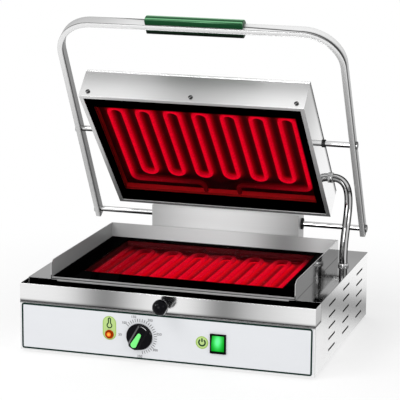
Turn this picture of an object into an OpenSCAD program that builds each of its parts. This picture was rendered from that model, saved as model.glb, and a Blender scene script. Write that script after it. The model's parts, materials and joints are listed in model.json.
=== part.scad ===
// Contact grill: two black glass plates with heaters under them, a low steel body
// with a front control panel, and a lid hung on pins in a bail with a green grip.
// Millimetres, +Z up, front towards -Y, +X to the right seen from the front.
// The origin is on the floor in the middle of the bounding box; the lid is drawn open.

/* [Body] */
// Width of the steel body
base_w = 520; // [460:1:600]
// Depth of the steel body
base_d = 400; // [380:1:440]
// Height of the body above the floor
stand_off = 4; // [3:0.5:12]
// Height of the front wall up to the tray shelf
front_h = 85.9; // [80:0.1:110]
// Height of the drip tray recess above the shelf
tray_rise = 32.1; // [28:0.1:45]
// Depth of the drip tray recess
tray_room = 39.6; // [36:0.2:50]
// Thickness of the steel sheet
sheet = 1.2; // [0.8:0.1:1.6]
// Width of the inward flange under the body
flange_w = 14; // [10:1:24]
// Diameter of each rubber foot
foot_d = 24; // [16:1:30]
// Distance of a foot from the sides of the body
foot_inset = 46; // [36:1:70]

/* [Side slots] */
// Length of a cooling slot
slot_len = 50; // [30:1:70]
// Height of a cooling slot
slot_h = 3.6; // [2:0.2:6]
// Spacing of the slot rows
slot_row_pitch = 19.6; // [14:0.1:22]
// Spacing of the slot columns
slot_column_pitch = 106.6; // [90:0.1:115]
// Height of the lowest row above the body's lower edge
slot_low = 19; // [14:0.5:28]
// Place of the middle column behind the middle of the body
slot_mid_y = 27; // [15:1:35]

/* [Plates] */
// Thickness of each glass plate
glass_t = 4; // [3:0.5:6]
// Distance of the splash guard from the sides of the body
guard_side = 43.5; // [38:0.5:50]
// Gap between the splash guard and the rear of the body
guard_back = 52; // [48:1:56]
// Height of the splash guard at the front
guard_front_h = 34.1; // [26:0.1:45]
// Height of the splash guard at the rear
guard_rear_h = 31.4; // [24:0.1:34]
// Overhang of the plate and guard over the tray recess
plate_overhang = 5; // [3:0.5:8]
// Width of the rubber strip round the lower plate
lower_seal_w = 2; // [1:0.5:3]
// Distance of the upper heater pan from the sides of the lid
pan_side = 20; // [16:0.5:30]
// Room in front of the lower heater pan
pan_front = 50.7; // [40:0.1:60]
// Room behind the lower heater pan
pan_rear = 8.7; // [7:0.1:12]
// Sheet thickness of the heater pans
pan_sheet = 0.8; // [0.5:0.1:1.2]
// Thickness of the insulation boards
insulation_t = 12; // [8:0.5:16]
// Diameter of the heater tube
tube_d = 8; // [6:0.5:8.5]
// Room beside the heater in its pan
heater_side = 10.2; // [8:0.1:16]
// Clear height between glass and heater tube
tube_drop = 2; // [1:0.5:5]
// Sideways shift of the lower heater
lower_shift = 1.5; // [0:0.1:5]
// Sideways shift of the upper heater
upper_shift = 5.8; // [0:0.1:7]

/* [Drip tray] */
// Height of the tray's rear wall
tray_back_h = 20; // [14:0.5:26]
// Diameter of the ball knob
ball_d = 27; // [20:1:30]
// Reach of the ball's middle in front of the tray
ball_reach = 23; // [20:0.5:34]
// Height of the ball above the shelf
ball_rise = 17; // [14:0.2:18]

/* [Controls] */
// Thickness of the control panel
panel_t = 0.8; // [0.5:0.1:1.5]
// Margin of the control panel at the sides
panel_margin = 2.5; // [1:0.5:8]
// Margin of the control panel at its lower edge
panel_low = 2.6; // [2:0.1:8]
// Margin of the control panel under the shelf
panel_high = 3.2; // [2:0.1:8]
// Corner radius of the control panel
panel_r = 4; // [2:0.5:8]
// Height of the knob and switch above the body's lower edge
control_z = 42.5; // [36:0.5:48]
// Place of the thermostat knob across the panel
dial_x = -43.5; // [-60:0.5:-30]
// Diameter of the thermostat knob
dial_d = 45.5; // [36:0.5:52]
// Height of the knob's finger bar above its skirt
dial_bar_h = 7; // [5:0.5:18]
// Width of the finger bar
dial_bar_w = 13; // [9:0.5:18]
// Direction of the pointer at rest, anticlockwise from +X
dial_rest = 241; // [180:1:260]
// Place of the pilot lamp across the panel
lamp_x = -97.4; // [-110:0.2:-90]
// Diameter of the pilot lamp's lens
lamp_d = 15.5; // [12:0.5:18]
// Place of the rocker switch across the panel
switch_x = 94.4; // [80:0.2:140]
// Width of the rocker
rocker_w = 21; // [16:0.5:24]
// Height of the rocker
rocker_h = 26.8; // [22:0.2:30]
// Rim of the switch bezel round the rocker
bezel_rim = 3; // [2:0.5:5]
// Angle between the switch's two positions
rocker_travel = 18; // [10:1:20]

/* [Lid] */
// Distance of the lid from the splash guard at the sides
lid_side = 15.5; // [12:0.5:20]
// Extra length of the lid over the length of the splash guard
lid_over = 5.6; // [2:0.1:9]
// Height of the lid
lid_h = 58.5; // [54:0.5:66]
// Width of the lid's rim round the glass
lid_lip = 7.5; // [5:0.5:9]
// Height of the cover's outer edge
cover_rim = 2.4; // [2:0.2:3]
// Open seam between cover and lid
seam = 1.8; // [0.8:0.1:2.5]
// Place of the pivot pins in front of the lid's rear edge
pin_back = 153.3; // [146:0.1:157]
// Place of the pivot pins below the top of the lid
pin_drop = 7.1; // [7.1:0.1:9]
// Slope of the open lid
lid_tilt = 47; // [40:1:50]
// Gap between the closed lid and the lower glass
contact_gap = 0.6; // [0.4:0.1:3]

/* [Bail and hinge] */
// Distance of the arms from the planes of the body's sides
arm_side = 1; // [0:0.5:6]
// Width of the flat bar, front to back
bar_w = 20; // [16:1:26]
// Thickness of the flat bar
bar_t = 9.5; // [6:0.5:12]
// Length of the arms from the shaft to the top of the cross bar
bail_reach = 445; // [420:1:460]
// Inner radius of the bail's bends
bend_in = 62; // [40:0.5:80]
// Length of an arm past the shaft
arm_tail = 12; // [11:1:20]
// Forward lean of the open arms from upright
arm_lean = 29.8; // [28:0.1:32]
// Distance between shaft and pivot pins
pin_reach = 197; // [192:0.2:200]
// Diameter of shaft and pivot pins
shaft_d = 10; // [8:0.5:10]
// Distance of the shaft from the body's rear
shaft_inset = 19.4; // [18:0.1:24]
// Height of the shaft above the deck
shaft_rise = 48.6; // [46:0.1:52]
// Length of the grip
grip_len = 174; // [140:0.2:220]
// Diameter of the grip
grip_d = 32; // [29:0.5:36]
// How far the bar stands out of the grip's flat front
grip_proud = 2; // [1:0.5:4]
// Width of the hinge box
box_w = 280; // [240:0.2:320]
// Distance of the hinge box from the rear of the body
box_rear = 5.2; // [4:0.1:8]
// Height of the hinge box
box_h = 69; // [66:0.5:70]
// Gap between splash guard and hinge box
box_gap = 8; // [5:0.1:9]
// Wire of the counter springs
spring_wire = 3.2; // [2:0.1:3.4]
// Rise of the counter springs per turn
spring_pitch = 4.6; // [4.2:0.1:6]

/* [Conduit] */
// Diameter of the steel conduit
conduit_d = 14.5; // [12:0.5:15]
// Distance of the conduit from the body's right side
conduit_side = 20.3; // [19:0.1:21]
// Distance of the conduit from the rear of the body
conduit_back = 110.7; // [95:0.1:130]
// Place of the conduit's entry in front of the lid's rear edge
entry_back = 58; // [48:0.5:74]
// Place of the conduit's entry below the top of the lid
entry_drop = 12.5; // [12:0.5:20]
// Pull of the curve upward from the deck
conduit_rise = 70; // [50:1:90]
// Pull of the curve forward from the deck
conduit_lean = 14; // [0:1:30]
// Pull of the curve outward from the lid
conduit_reach = 45; // [30:1:46]

/* [Hidden] */
$fn = 48;
gap = 0.3;
fit = 0.05;
eps = 1;
steel = [0.78, 0.79, 0.80];
dark = [0.08, 0.08, 0.09];
green = [0.30, 0.62, 0.20];
white = [0.92, 0.93, 0.94];
red = [0.85, 0.10, 0.08];
board = [0.80, 0.76, 0.68];

// Main planes of the body
half_w = base_w / 2;
front_y = -base_d / 2;
rear_y = base_d / 2;
base_z = stand_off;
shelf_z = base_z + front_h;
deck_z = shelf_z + tray_rise;
recess_y = front_y + tray_room;
panel_y = front_y - panel_t;
control_height = base_z + control_z;
inner_z = base_z + 2 * sheet;
foot_taper = 3;
slot_rows = 5;
vent_columns = 7;

// Cooking plate and splash guard
guard_half = half_w - guard_side;
guard_y = [recess_y - plate_overhang, rear_y - guard_back];
guard_corner = 10;
guard_corner_drop = 5.5;
ledge_t = 1.3;
glass_low = deck_z + ledge_t;
glass_top = glass_low + glass_t;
frame_half = guard_half - sheet - gap;
frame_rear = guard_y[1] - sheet - gap;
rim_t = 2.5;
rim_lip_h = 2.2;
rim_groove = 1.4;
rim_drip = 1.7;
drip_inset = 10;
drip_half = frame_half - drip_inset;
plate_half = frame_half - lower_seal_w;
plate_y = [guard_y[0] + rim_t, frame_rear - lower_seal_w];
lid_w = 2 * (guard_half - lid_side);
pan_w = lid_w - 2 * pan_side;
pan_d = plate_y[1] - plate_y[0] - pan_front - pan_rear;
pan_flange = 5;
lower_pan_y = plate_y[0] + pan_front;
flange_half = pan_w / 2 + pan_sheet + pan_flange;
flange_y = [-pan_sheet - pan_flange, pan_d + pan_sheet + pan_flange];
well_gap = 3;
well_half = pan_w / 2 + pan_sheet + well_gap;
well_y = [lower_pan_y - pan_sheet - well_gap, lower_pan_y + pan_d + pan_sheet + well_gap];

// Heater tube, measured from the inner face of the glass and the pan's front wall
legs = 14;
pitch_step = 0.05;
leg_pitch = pitch_step * floor((pan_w - tube_d - 2 * heater_side) / (legs - 1) / pitch_step);
tube_depth = tube_drop + tube_d / 2;
pan_depth = tube_depth + tube_d / 2 + gap + insulation_t;
bend_r = leg_pitch / 2;
bend_thin = 0.1;
heater_room = 52;
heater_len = pan_d - heater_room;
lead_run = 18.4;
lead_left = -34;
lead_right = 30;
lead_out = 2;
lower_heater_y = 15.4;
upper_heater_y = 9;
bulb_d = 6;
bulb_len = 90;

// Drip tray
tray_low = shelf_z + gap;
tray_drop = 0.8;
tray_top = deck_z - tray_drop;
tray_gap = 0.8;
tray_y = [front_y, recess_y - tray_gap];
ball_z = shelf_z + ball_rise;
stem_d = 9;
stem_foot_d = 15;
stem_neck_d = 11;
stem_foot_h = 3;

// Controls
bush_d = 10;
spindle_d = 6;
dial_gap = 1;
skirt_h = 4;
skirt_chamfer = 1.5;
pointer_t = 0.8;
pointer_tail_d = 6.6;
pointer_tip_d = 10.6;
pointer_inset = 9;
pointer_back = 6;
pointer_reach = dial_d / 2 - pointer_inset;
thermostat_size = [40, 34, 36];
spindle_depth = 20;
lamp_lip = 1.5;
lamp_neck = lamp_d - 2 * lamp_lip;
lamp_drop = 1;
lamp_height = control_height - lamp_drop;
lens_sink = lamp_d / 4;
lens_r = norm([lamp_d / 2, lens_sink]);
lamp_nut_rim = 2.5;
lamp_nut_d = lamp_neck + 2 * lamp_nut_rim;
lamp_nut_h = 3;
lamp_holder_len = 22;
cavity_half = [rocker_w / 2 + gap, rocker_h / 2 + 2 * gap];
housing_wall = 1.2;
housing_half = [cavity_half[0] + housing_wall, cavity_half[1] + housing_wall];
bezel_half = [cavity_half[0] + bezel_rim, cavity_half[1] + bezel_rim];
bezel_t = 2.5;
bezel_y = panel_y - bezel_t;
rocker_set = 5;
rocker_pivot_y = bezel_y + rocker_set;
rocker_crown = 7.5;
rocker_edge = 5;
rocker_back = 4;
rocker_room = 3;
trunnion_d = 3;
trunnion_seat = 1;
cavity_depth = rocker_set + rocker_back + rocker_h / 2 * sin(rocker_travel / 2) + rocker_room;
housing_back = 6;

// Lid, in its own frame: front edge at y = 0, glass side at z = 0
lid_half = lid_w / 2;
lid_len = guard_y[1] - guard_y[0] + lid_over;
pin_along = lid_len - pin_back;
pin_up = lid_h - pin_drop;
entry_along = lid_len - entry_back;
entry_up = lid_h - entry_drop;
wall_top = lid_h - cover_rim - seam;
seal_t = 1;
upper_glass_low = sheet + seal_t;
upper_glass_in = upper_glass_low + glass_t;
upper_pan_y = 32;
skirt_drop = 8;
bush_wall = 0.8;
bush_od = shaft_d + 2 * bush_wall;
bush_rim = 2;
bush_flange_d = shaft_d + 2 * bush_rim;
bush_flange_t = 3;
bush_len = 8;
screw_up = 10;
screw_inset = 15;
screw_side = lid_half - screw_inset;
screw_head_d = 8;
screw_top_d = 5.8;
screw_head_h = 2;

// Bail, shaft and pins
arm_out = half_w - arm_side;
arm_in = arm_out - bar_t;
shaft_y = rear_y - shaft_inset;
shaft_z = deck_z + shaft_rise;
pin_y = shaft_y - pin_reach * sin(arm_lean);
pin_z = shaft_z + pin_reach * cos(arm_lean);
spigot_d = 7;
pin_inside = 2;
cap_d = 14;
cap_top_d = 11;
cap_t = 3.5;
cap_slot_w = 1.6;
cap_slot_depth = 1.2;
closed_lean = acos((glass_top + contact_gap + pin_up - shaft_z) / pin_reach);
arm_travel = closed_lean - arm_lean;
lid_turn = lid_tilt - arm_travel;

// Hinge box and what it holds
box_half = box_w / 2;
box_y = [guard_y[1] + box_gap, rear_y - box_rear];
box_z = [deck_z, deck_z + box_h];
box_sheet = 1.5;
box_foot = 10;
cover_t = 1.2;
cover_screw_inset = 14;
hinge_bush_wall = 3;
hinge_bush_od = shaft_d + 2 * hinge_bush_wall;
hinge_flange_rim = 5.5;
hinge_flange_d = shaft_d + 2 * hinge_flange_rim;
hinge_flange_t = 2.5;
hinge_bush_len = 9;
collar_wall = 2.5;
collar_d = shaft_d + 2 * collar_wall;
collar_x = [52, 62];
spring_x = 70;
spring_turns = 9;
spring_clear = 3.2;
spring_r = shaft_d / 2 + spring_clear + spring_wire / 2;
spring_sides = 6;
spring_rings = 8;

// Conduit
conduit_x = half_w - conduit_side;
conduit_y = rear_y - conduit_back;
nut_wall = 2.25;
nut_d = conduit_d + 2 * nut_wall;
nut_h = 5;
tie_gap = 0.5;
tie_d = conduit_d + 2 * tie_gap;
tail_in = 10;
tail_out = 2;
entry_y = pin_y + (entry_along - pin_along) * cos(lid_tilt) + (entry_up - pin_up) * sin(lid_tilt);
entry_z = pin_z - (entry_along - pin_along) * sin(lid_tilt) + (entry_up - pin_up) * cos(lid_tilt);
conduit_steps = 30;
conduit_sides = 12;
conduit_droop = 6;
conduit_swing = 6;
conduit_start = [conduit_x, conduit_y, deck_z + nut_h + tail_out];
conduit_end = [lid_half + nut_h + 2 * tail_out, entry_y, entry_z];
conduit_path = concat(
    [conduit_start - [0, 0, nut_h + tail_out + tail_in]],
    [for (i = [0:conduit_steps]) bezier(i / conduit_steps, conduit_start,
        conduit_start + [0, -conduit_lean, conduit_rise],
        conduit_end + [conduit_reach, -conduit_swing, -conduit_droop], conduit_end)],
    [conduit_end - [nut_h + 2 * tail_out + tail_in, 0, 0]]);

// Cable inlet and terminals
gland_x = -150;
gland_rise = 36;
gland_z = base_z + gland_rise;
gland_d = 14;
gland_flange_d = 22;
gland_flange_t = 4;
gland_cap_d = 18;
gland_bore = 9;
gland_thread = 8;
gland_nut_t = 5;
block_size = [64, 20, 18];
block_back = 60;
block_ways = 4;
block_hole_d = 6;

// The bounding box runs from the ball knob to the end of the cable inlet
gland_out = 14;
ball_front_y = front_y - ball_reach - ball_d / 2;
frame_y = -(rear_y + gland_out + ball_front_y) / 2;

// Functions for curves and tubes
function bezier(t, a, b, c, d) =
    pow(1 - t, 3) * a + 3 * t * pow(1 - t, 2) * b + 3 * t * t * (1 - t) * c + pow(t, 3) * d;
function unit(v) = v / norm(v);
function along(path, i) =
    unit(path[min(i + 1, len(path) - 1)] - path[max(i - 1, 0)]);
function ring(path, i, r, sides, side_axis) =
    let (t = along(path, i), u = unit(cross(t, side_axis)), v = cross(u, t))
    [for (k = [0:sides - 1]) path[i] + r * (cos(360 * k / sides) * u + sin(360 * k / sides) * v)];
function helix(turns, rings, r, pitch) =
    [for (i = [0:turns * rings])
        [pitch * i / rings, r * sin(360 * i / rings), r * cos(360 * i / rings)]];

// Round tube carried along a path; side_axis is never parallel to the path
module tube(path, r, sides, side_axis) {
    last = len(path) - 1;
    points = [for (i = [0:last]) each ring(path, i, r, sides, side_axis)];
    walls = [for (i = [0:last - 1], k = [0:sides - 1]) let (a = i * sides + k,
        b = i * sides + (k + 1) % sides) each [[a, a + sides, b + sides], [a, b + sides, b]]];
    caps = [[for (k = [0:sides - 1]) k], [for (k = [sides - 1:-1:0]) last * sides + k]];
    polyhedron(points = points, faces = concat(caps, walls), convexity = 10);
}

// Frames: the whole object, the lid and the arms at rest
module in_frame() translate([0, frame_y, 0]) children();
module on_lid() in_frame() translate([0, pin_y, pin_z]) rotate([-lid_tilt, 0, 0])
    translate([0, -pin_along, -pin_up]) children();
module on_arm() in_frame() translate([0, shaft_y, shaft_z]) rotate([arm_lean, 0, 0]) children();

// Block between pairs of limits, and rods along the three axes
module block(x, y, z)
    translate([x[0], y[0], z[0]]) cube([x[1] - x[0], y[1] - y[0], z[1] - z[0]]);
module rod_x(d, x, y, z) translate([x[0], y, z]) rotate([0, 90, 0]) cylinder(d = d, h = x[1] - x[0]);
module rod_y(d, x, y, z) translate([x, y[0], z]) rotate([-90, 0, 0]) cylinder(d = d, h = y[1] - y[0]);
module rod_z(d, x, y, z) translate([x, y, z[0]]) cylinder(d = d, h = z[1] - z[0]);
// Outline in the YZ plane carried along X
module carry_x(x) translate([x[0], 0, 0]) rotate([90, 0, 90]) linear_extrude(x[1] - x[0]) children();
// Outline in the XZ plane carried along Y
module carry_y(y) translate([0, y[1], 0]) rotate([90, 0, 0]) linear_extrude(y[1] - y[0]) children();
// Four-sided band between an outer and an inner half width and two pairs of Y limits
module band(outer, outer_y, inner, inner_y, z) difference() {
    block([-outer, outer], outer_y, z);
    block([-inner, inner], inner_y, [z[0] - eps, z[1] + eps]);
}
module capsule(length, height) {
    square([length - height, height], center = true);
    for (side = [-1, 1]) translate([side * (length - height) / 2, 0]) circle(d = height);
}
module round_corners(w, h, r) {
    square([w - 2 * r, h], center = true);
    square([w, h - 2 * r], center = true);
    for (x = [-1, 1], y = [-1, 1]) translate([x * (w / 2 - r), y * (h / 2 - r)]) circle(r = r);
}

// Holes through the front wall and the panel for the controls
module control_holes(y) {
    rod_y(bush_d + 2 * gap, dial_x, y, control_height);
    rod_y(lamp_neck + 2 * gap, lamp_x, y, lamp_height);
    block([switch_x - housing_half[0] - gap, switch_x + housing_half[0] + gap], y,
        [control_height - housing_half[1] - gap, control_height + housing_half[1] + gap]);
}

// Four outer walls with the tray recess cut from the sides, and an inward foot flange
module base_shell() color(steel) in_frame() difference() {
    union() {
        for (side = [-half_w, half_w - sheet]) carry_x([side, side + sheet])
            polygon([[front_y, base_z], [rear_y, base_z], [rear_y, deck_z - sheet],
                [recess_y, deck_z - sheet], [recess_y, shelf_z - sheet], [front_y, shelf_z - sheet]]);
        block([-half_w, half_w], [front_y, front_y + sheet], [base_z, shelf_z - sheet]);
        block([-half_w, half_w], [rear_y - sheet, rear_y], [base_z, deck_z - sheet]);
        band(half_w, [front_y, rear_y], half_w - flange_w, [front_y + flange_w, rear_y - flange_w],
            [base_z, base_z + sheet]);
    }
    for (row = [0:slot_rows - 1], column = [-1:1]) carry_x([-half_w - eps, half_w + eps])
        translate([slot_mid_y + column * slot_column_pitch, base_z + slot_low + row * slot_row_pitch])
            capsule(slot_len, slot_h);
    control_holes([front_y - eps, front_y + sheet + eps]);
    rod_y(gland_d + 2 * gap, gland_x, [rear_y - sheet - eps, rear_y + eps], gland_z);
}

// Floor of the body with two rows of vents
module bottom_plate() color(steel) in_frame() difference() {
    block([-half_w + sheet + gap, half_w - sheet - gap],
        [front_y + sheet + gap, rear_y - sheet - gap], [base_z + sheet, inner_z]);
    for (row = [-1, 1], column = [0:vent_columns - 1])
        translate([(column - (vent_columns - 1) / 2) * slot_len, row * slot_len, base_z])
            rotate(90) linear_extrude(inner_z) capsule(slot_len, slot_h);
}

module feet() color(dark) in_frame() for (x = [-1, 1], y = [-1, 1])
    translate([x * (half_w - foot_inset), y * (base_d / 2 - foot_inset), 0])
        cylinder(d1 = foot_d - foot_taper, d2 = foot_d, h = base_z + sheet);

// Deck with the plate well, the drop behind the tray and the tray shelf
module top_deck() color(steel) in_frame() difference() {
    union() {
        block([-half_w, half_w], [recess_y, rear_y], [deck_z - sheet, deck_z]);
        block([-half_w + sheet + gap, half_w - sheet - gap], [recess_y, recess_y + sheet],
            [shelf_z - sheet, deck_z]);
        block([-half_w, half_w], [front_y, recess_y], [shelf_z - sheet, shelf_z]);
    }
    block([-well_half, well_half], well_y, [deck_z - sheet - eps, deck_z + eps]);
    rod_z(tie_d, conduit_x, conduit_y, [deck_z - sheet - eps, deck_z + eps]);
}

// Upright sheet on three sides of the plate, lower at the rear
module splash_guard() color(steel) in_frame() {
    for (side = [-guard_half, guard_half - sheet]) carry_x([side, side + sheet])
        polygon([[guard_y[0], deck_z], [guard_y[1], deck_z], [guard_y[1], deck_z + guard_rear_h],
            [guard_y[0] + guard_corner, deck_z + guard_front_h],
            [guard_y[0], deck_z + guard_front_h - guard_corner_drop]]);
    block([-guard_half + sheet, guard_half - sheet], [guard_y[1] - sheet, guard_y[1]],
        [deck_z, deck_z + guard_rear_h]);
}

// Ledge under the glass with a grooved rim and a drip lip along the front
module plate_frame() color(steel) in_frame() {
    band(frame_half, [guard_y[0] + rim_groove, frame_rear], flange_half + gap,
        [lower_pan_y + flange_y[0] - gap, lower_pan_y + flange_y[1] + gap], [deck_z, glass_low]);
    block([-frame_half, frame_half], [guard_y[0] + rim_groove, plate_y[0]], [deck_z, glass_top]);
    block([-frame_half, frame_half], [guard_y[0], guard_y[0] + rim_groove],
        [glass_top - rim_lip_h, glass_top]);
    block([-drip_half, drip_half], [guard_y[0] - gap, guard_y[0] + rim_groove],
        [deck_z - rim_drip, deck_z + gap]);
}

module lower_seal() color(dark) in_frame() difference() {
    block([-frame_half, frame_half], [plate_y[0], frame_rear], [glass_low, glass_top]);
    block([-plate_half, plate_half], [plate_y[0] - eps, plate_y[1]], [glass_low - eps, glass_top + eps]);
}

module lower_glass() color(dark) in_frame()
    block([-plate_half, plate_half], plate_y, [glass_low, glass_top]);

// Flanged tray that holds insulation and heater against the glass
module pan_shape(shift) difference() {
    union() {
        block([-flange_half, flange_half], flange_y, [0, pan_sheet]);
        block([-pan_w / 2 - pan_sheet, pan_w / 2 + pan_sheet], [-pan_sheet, pan_d + pan_sheet],
            [0, pan_depth + pan_sheet]);
    }
    block([-pan_w / 2, pan_w / 2], [0, pan_d], [-eps, pan_depth]);
    for (x = [lead_left, lead_right])
        rod_y(tube_d + 2 * gap, x + shift, [pan_d - eps, pan_d + pan_sheet + eps], tube_depth);
}
module insulation_shape() block([-pan_w / 2 + gap, pan_w / 2 - gap], [gap, pan_d - gap],
    [pan_depth - insulation_t, pan_depth]);

// Bent quarter or half of the heater tube, starting at `from` degrees; bending draws the tube thinner
module tube_bend(x, y, from, turn) translate([x, y, 0]) rotate(from)
    rotate_extrude(angle = turn) translate([bend_r, 0]) circle(d = tube_d - bend_thin);

// Serpentine heater: legs front to rear, seven front bends, six rear bends,
// and two end legs that run inward behind the bends and leave through the rear wall
module heater_shape(shift, offset) translate([shift, offset, tube_depth]) {
    front = bend_r + tube_d / 2;
    rear = heater_len - bend_r - tube_d / 2;
    run = heater_len + lead_run;
    lead_end = pan_d + pan_sheet + lead_out - offset;
    edge = (legs - 1) / 2 * leg_pitch;
    for (i = [1:legs - 2]) rod_y(tube_d, -edge + i * leg_pitch, [front, rear], 0);
    for (i = [0:2:legs - 2]) tube_bend(-edge + (i + 0.5) * leg_pitch, front, 180, 180);
    for (i = [1:2:legs - 3]) tube_bend(-edge + (i + 0.5) * leg_pitch, rear, 0, 180);
    for (x = [-edge, edge]) rod_y(tube_d, x, [front, run - bend_r], 0);
    tube_bend(-edge + bend_r, run - bend_r, 90, 90);
    tube_bend(edge - bend_r, run - bend_r, 0, 90);
    rod_x(tube_d, [-edge + bend_r, lead_left - bend_r], run, 0);
    rod_x(tube_d, [lead_right + bend_r, edge - bend_r], run, 0);
    tube_bend(lead_left - bend_r, run + bend_r, 270, 90);
    tube_bend(lead_right + bend_r, run + bend_r, 180, 90);
    for (x = [lead_left, lead_right]) rod_y(tube_d, x, [run + bend_r, lead_end], 0);
}

module in_lower_pan() in_frame() translate([0, lower_pan_y, glass_low]) mirror([0, 0, 1]) children();
module in_upper_pan() on_lid() translate([0, upper_pan_y, upper_glass_in]) children();

module lower_pan() color(steel) in_lower_pan() pan_shape(lower_shift);
module lower_insulation() color(board) in_lower_pan() insulation_shape();
module lower_element() color(red) in_lower_pan() heater_shape(lower_shift, lower_heater_y);
module thermostat_bulb() color(steel) in_lower_pan()
    rod_x(bulb_d, [-bulb_len / 2, bulb_len / 2], pan_d / 2, pan_depth + pan_sheet + bulb_d / 2);

// Thermostat with a bush through the front wall
module thermostat() color(dark) in_frame() difference() {
    union() {
        translate([dial_x - thermostat_size[0] / 2, front_y + sheet,
            control_height - thermostat_size[2] / 2]) cube(thermostat_size);
        rod_y(bush_d, dial_x, [panel_y - dial_gap + gap, front_y + sheet], control_height);
    }
    rod_y(spindle_d + 2 * fit, dial_x, [panel_y - dial_gap - eps, front_y + sheet + spindle_depth],
        control_height);
}
module thermostat_spindle() color(steel) in_frame()
    rod_y(spindle_d, dial_x, [panel_y - dial_gap - skirt_h - dial_bar_h / 2,
        front_y + sheet + spindle_depth - gap], control_height);

// Knob frame: middle of the knob's rear face, local Y along the pointer, local Z out of the panel
module on_dial() in_frame() translate([dial_x, panel_y - dial_gap, control_height])
    rotate([90, 0, 0]) rotate(dial_rest - 90) children();
module thermostat_knob() color(dark) on_dial() difference() {
    union() {
        cylinder(d = dial_d, h = skirt_h - skirt_chamfer);
        translate([0, 0, skirt_h - skirt_chamfer])
            cylinder(d1 = dial_d, d2 = dial_d - 2 * skirt_chamfer, h = skirt_chamfer);
        linear_extrude(skirt_h + dial_bar_h) intersection() {
            circle(d = dial_d - 2 * skirt_chamfer);
            square([dial_bar_w, dial_d], center = true);
        }
    }
    translate([0, 0, -eps]) cylinder(d = spindle_d + 2 * fit, h = eps + skirt_h + dial_bar_h / 2 + gap);
}
// Drop-shaped inlay from behind the middle of the bar to near its tip
module knob_pointer() color(green) on_dial() translate([0, 0, skirt_h + dial_bar_h])
    linear_extrude(pointer_t) {
        translate([0, -pointer_back]) circle(d = pointer_tail_d);
        translate([0, pointer_reach]) circle(d = pointer_tip_d);
        polygon([[-pointer_tail_d / 2, -pointer_back], [pointer_tail_d / 2, -pointer_back],
            [pointer_tip_d / 2, pointer_reach], [-pointer_tip_d / 2, pointer_reach]]);
    }

// Rocker switch: bezel and body, and the rocker on two trunnions
module rocker_housing() color(dark) in_frame() translate([switch_x, 0, control_height]) difference() {
    union() {
        block([-bezel_half[0], bezel_half[0]], [bezel_y, panel_y], [-bezel_half[1], bezel_half[1]]);
        block([-housing_half[0], housing_half[0]], [panel_y, bezel_y + cavity_depth + housing_back],
            [-housing_half[1], housing_half[1]]);
    }
    block([-cavity_half[0], cavity_half[0]], [bezel_y - eps, bezel_y + cavity_depth],
        [-cavity_half[1], cavity_half[1]]);
    rod_x(trunnion_d + 2 * fit, [-cavity_half[0] - trunnion_seat, cavity_half[0] + trunnion_seat],
        rocker_pivot_y, 0);
}
module rocker_button() color(green) in_frame()
    translate([switch_x, rocker_pivot_y, control_height]) rotate([-rocker_travel / 2, 0, 0]) {
        carry_x([-rocker_w / 2, rocker_w / 2]) intersection() {
            circle(d = rocker_h);
            polygon([[rocker_back, -rocker_h], [rocker_back, rocker_h], [-rocker_edge, rocker_h],
                [-rocker_edge, rocker_h / 2], [-rocker_crown, 0], [-rocker_edge, -rocker_h / 2],
                [-rocker_edge, -rocker_h]]);
        }
        trunnion_half = cavity_half[0] + trunnion_seat - gap;
        rod_x(trunnion_d, [-trunnion_half, trunnion_half], 0, 0);
    }

// Pilot lamp: domed lens with a neck through the panel, and its holder
module pilot_lens() color(red) in_frame() translate([lamp_x, panel_y, lamp_height]) {
    rotate([90, 0, 0]) intersection() {
        translate([0, 0, -lens_sink]) sphere(r = lens_r);
        cylinder(d = lamp_d, h = lamp_d);
    }
    rod_y(lamp_neck, 0, [0, panel_t + sheet], 0);
}
module lamp_holder() color(dark) in_frame() {
    rod_y(lamp_nut_d, lamp_x, [front_y + sheet, front_y + sheet + lamp_nut_h], lamp_height);
    rod_y(lamp_neck, lamp_x, [front_y + sheet, front_y + sheet + lamp_holder_len], lamp_height);
}

module control_panel() color(white) in_frame() difference() {
    carry_y([panel_y, front_y])
        translate([0, (base_z + panel_low + shelf_z - panel_high) / 2])
            round_corners(base_w - 2 * panel_margin, front_h - panel_low - panel_high, panel_r);
    control_holes([panel_y - eps, front_y + eps]);
}

// Folded box over the shaft, open at the rear and below, with a foot on the deck
module hinge_box() color(steel) in_frame() difference() {
    union() {
        block([-box_half, box_half], [box_y[0], box_y[0] + box_sheet], box_z);
        block([-box_half, box_half], box_y, [box_z[1] - box_sheet, box_z[1]]);
        for (side = [-box_half, box_half - box_sheet]) block([side, side + box_sheet], box_y, box_z);
        block([-box_half, box_half], [box_y[0], box_y[0] + box_foot], [box_z[0], box_z[0] + box_sheet]);
    }
    rod_x(hinge_bush_od + 2 * fit, [-box_half - eps, box_half + eps], shaft_y, shaft_z);
}
module hinge_cover() color(steel) in_frame()
    block([-box_half, box_half], [box_y[1], box_y[1] + cover_t], box_z);
module screw_head() cylinder(d1 = screw_head_d, d2 = screw_top_d, h = screw_head_h);
module cover_screws() color(steel) in_frame() for (x = [-1, 1], z = [-1, 1])
    translate([x * (box_half - cover_screw_inset), box_y[1] + cover_t,
        box_z[0] + box_h / 2 + z * (box_h / 2 - cover_screw_inset)]) rotate([-90, 0, 0]) screw_head();
module hinge_bushes() color(dark) in_frame() for (side = [0, 1]) mirror([side, 0, 0])
    difference() {
        union() {
            rod_x(hinge_bush_od, [box_half - hinge_bush_len, box_half], shaft_y, shaft_z);
            rod_x(hinge_flange_d, [box_half, box_half + hinge_flange_t], shaft_y, shaft_z);
        }
        rod_x(shaft_d + 2 * fit, [0, arm_in], shaft_y, shaft_z);
    }

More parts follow.
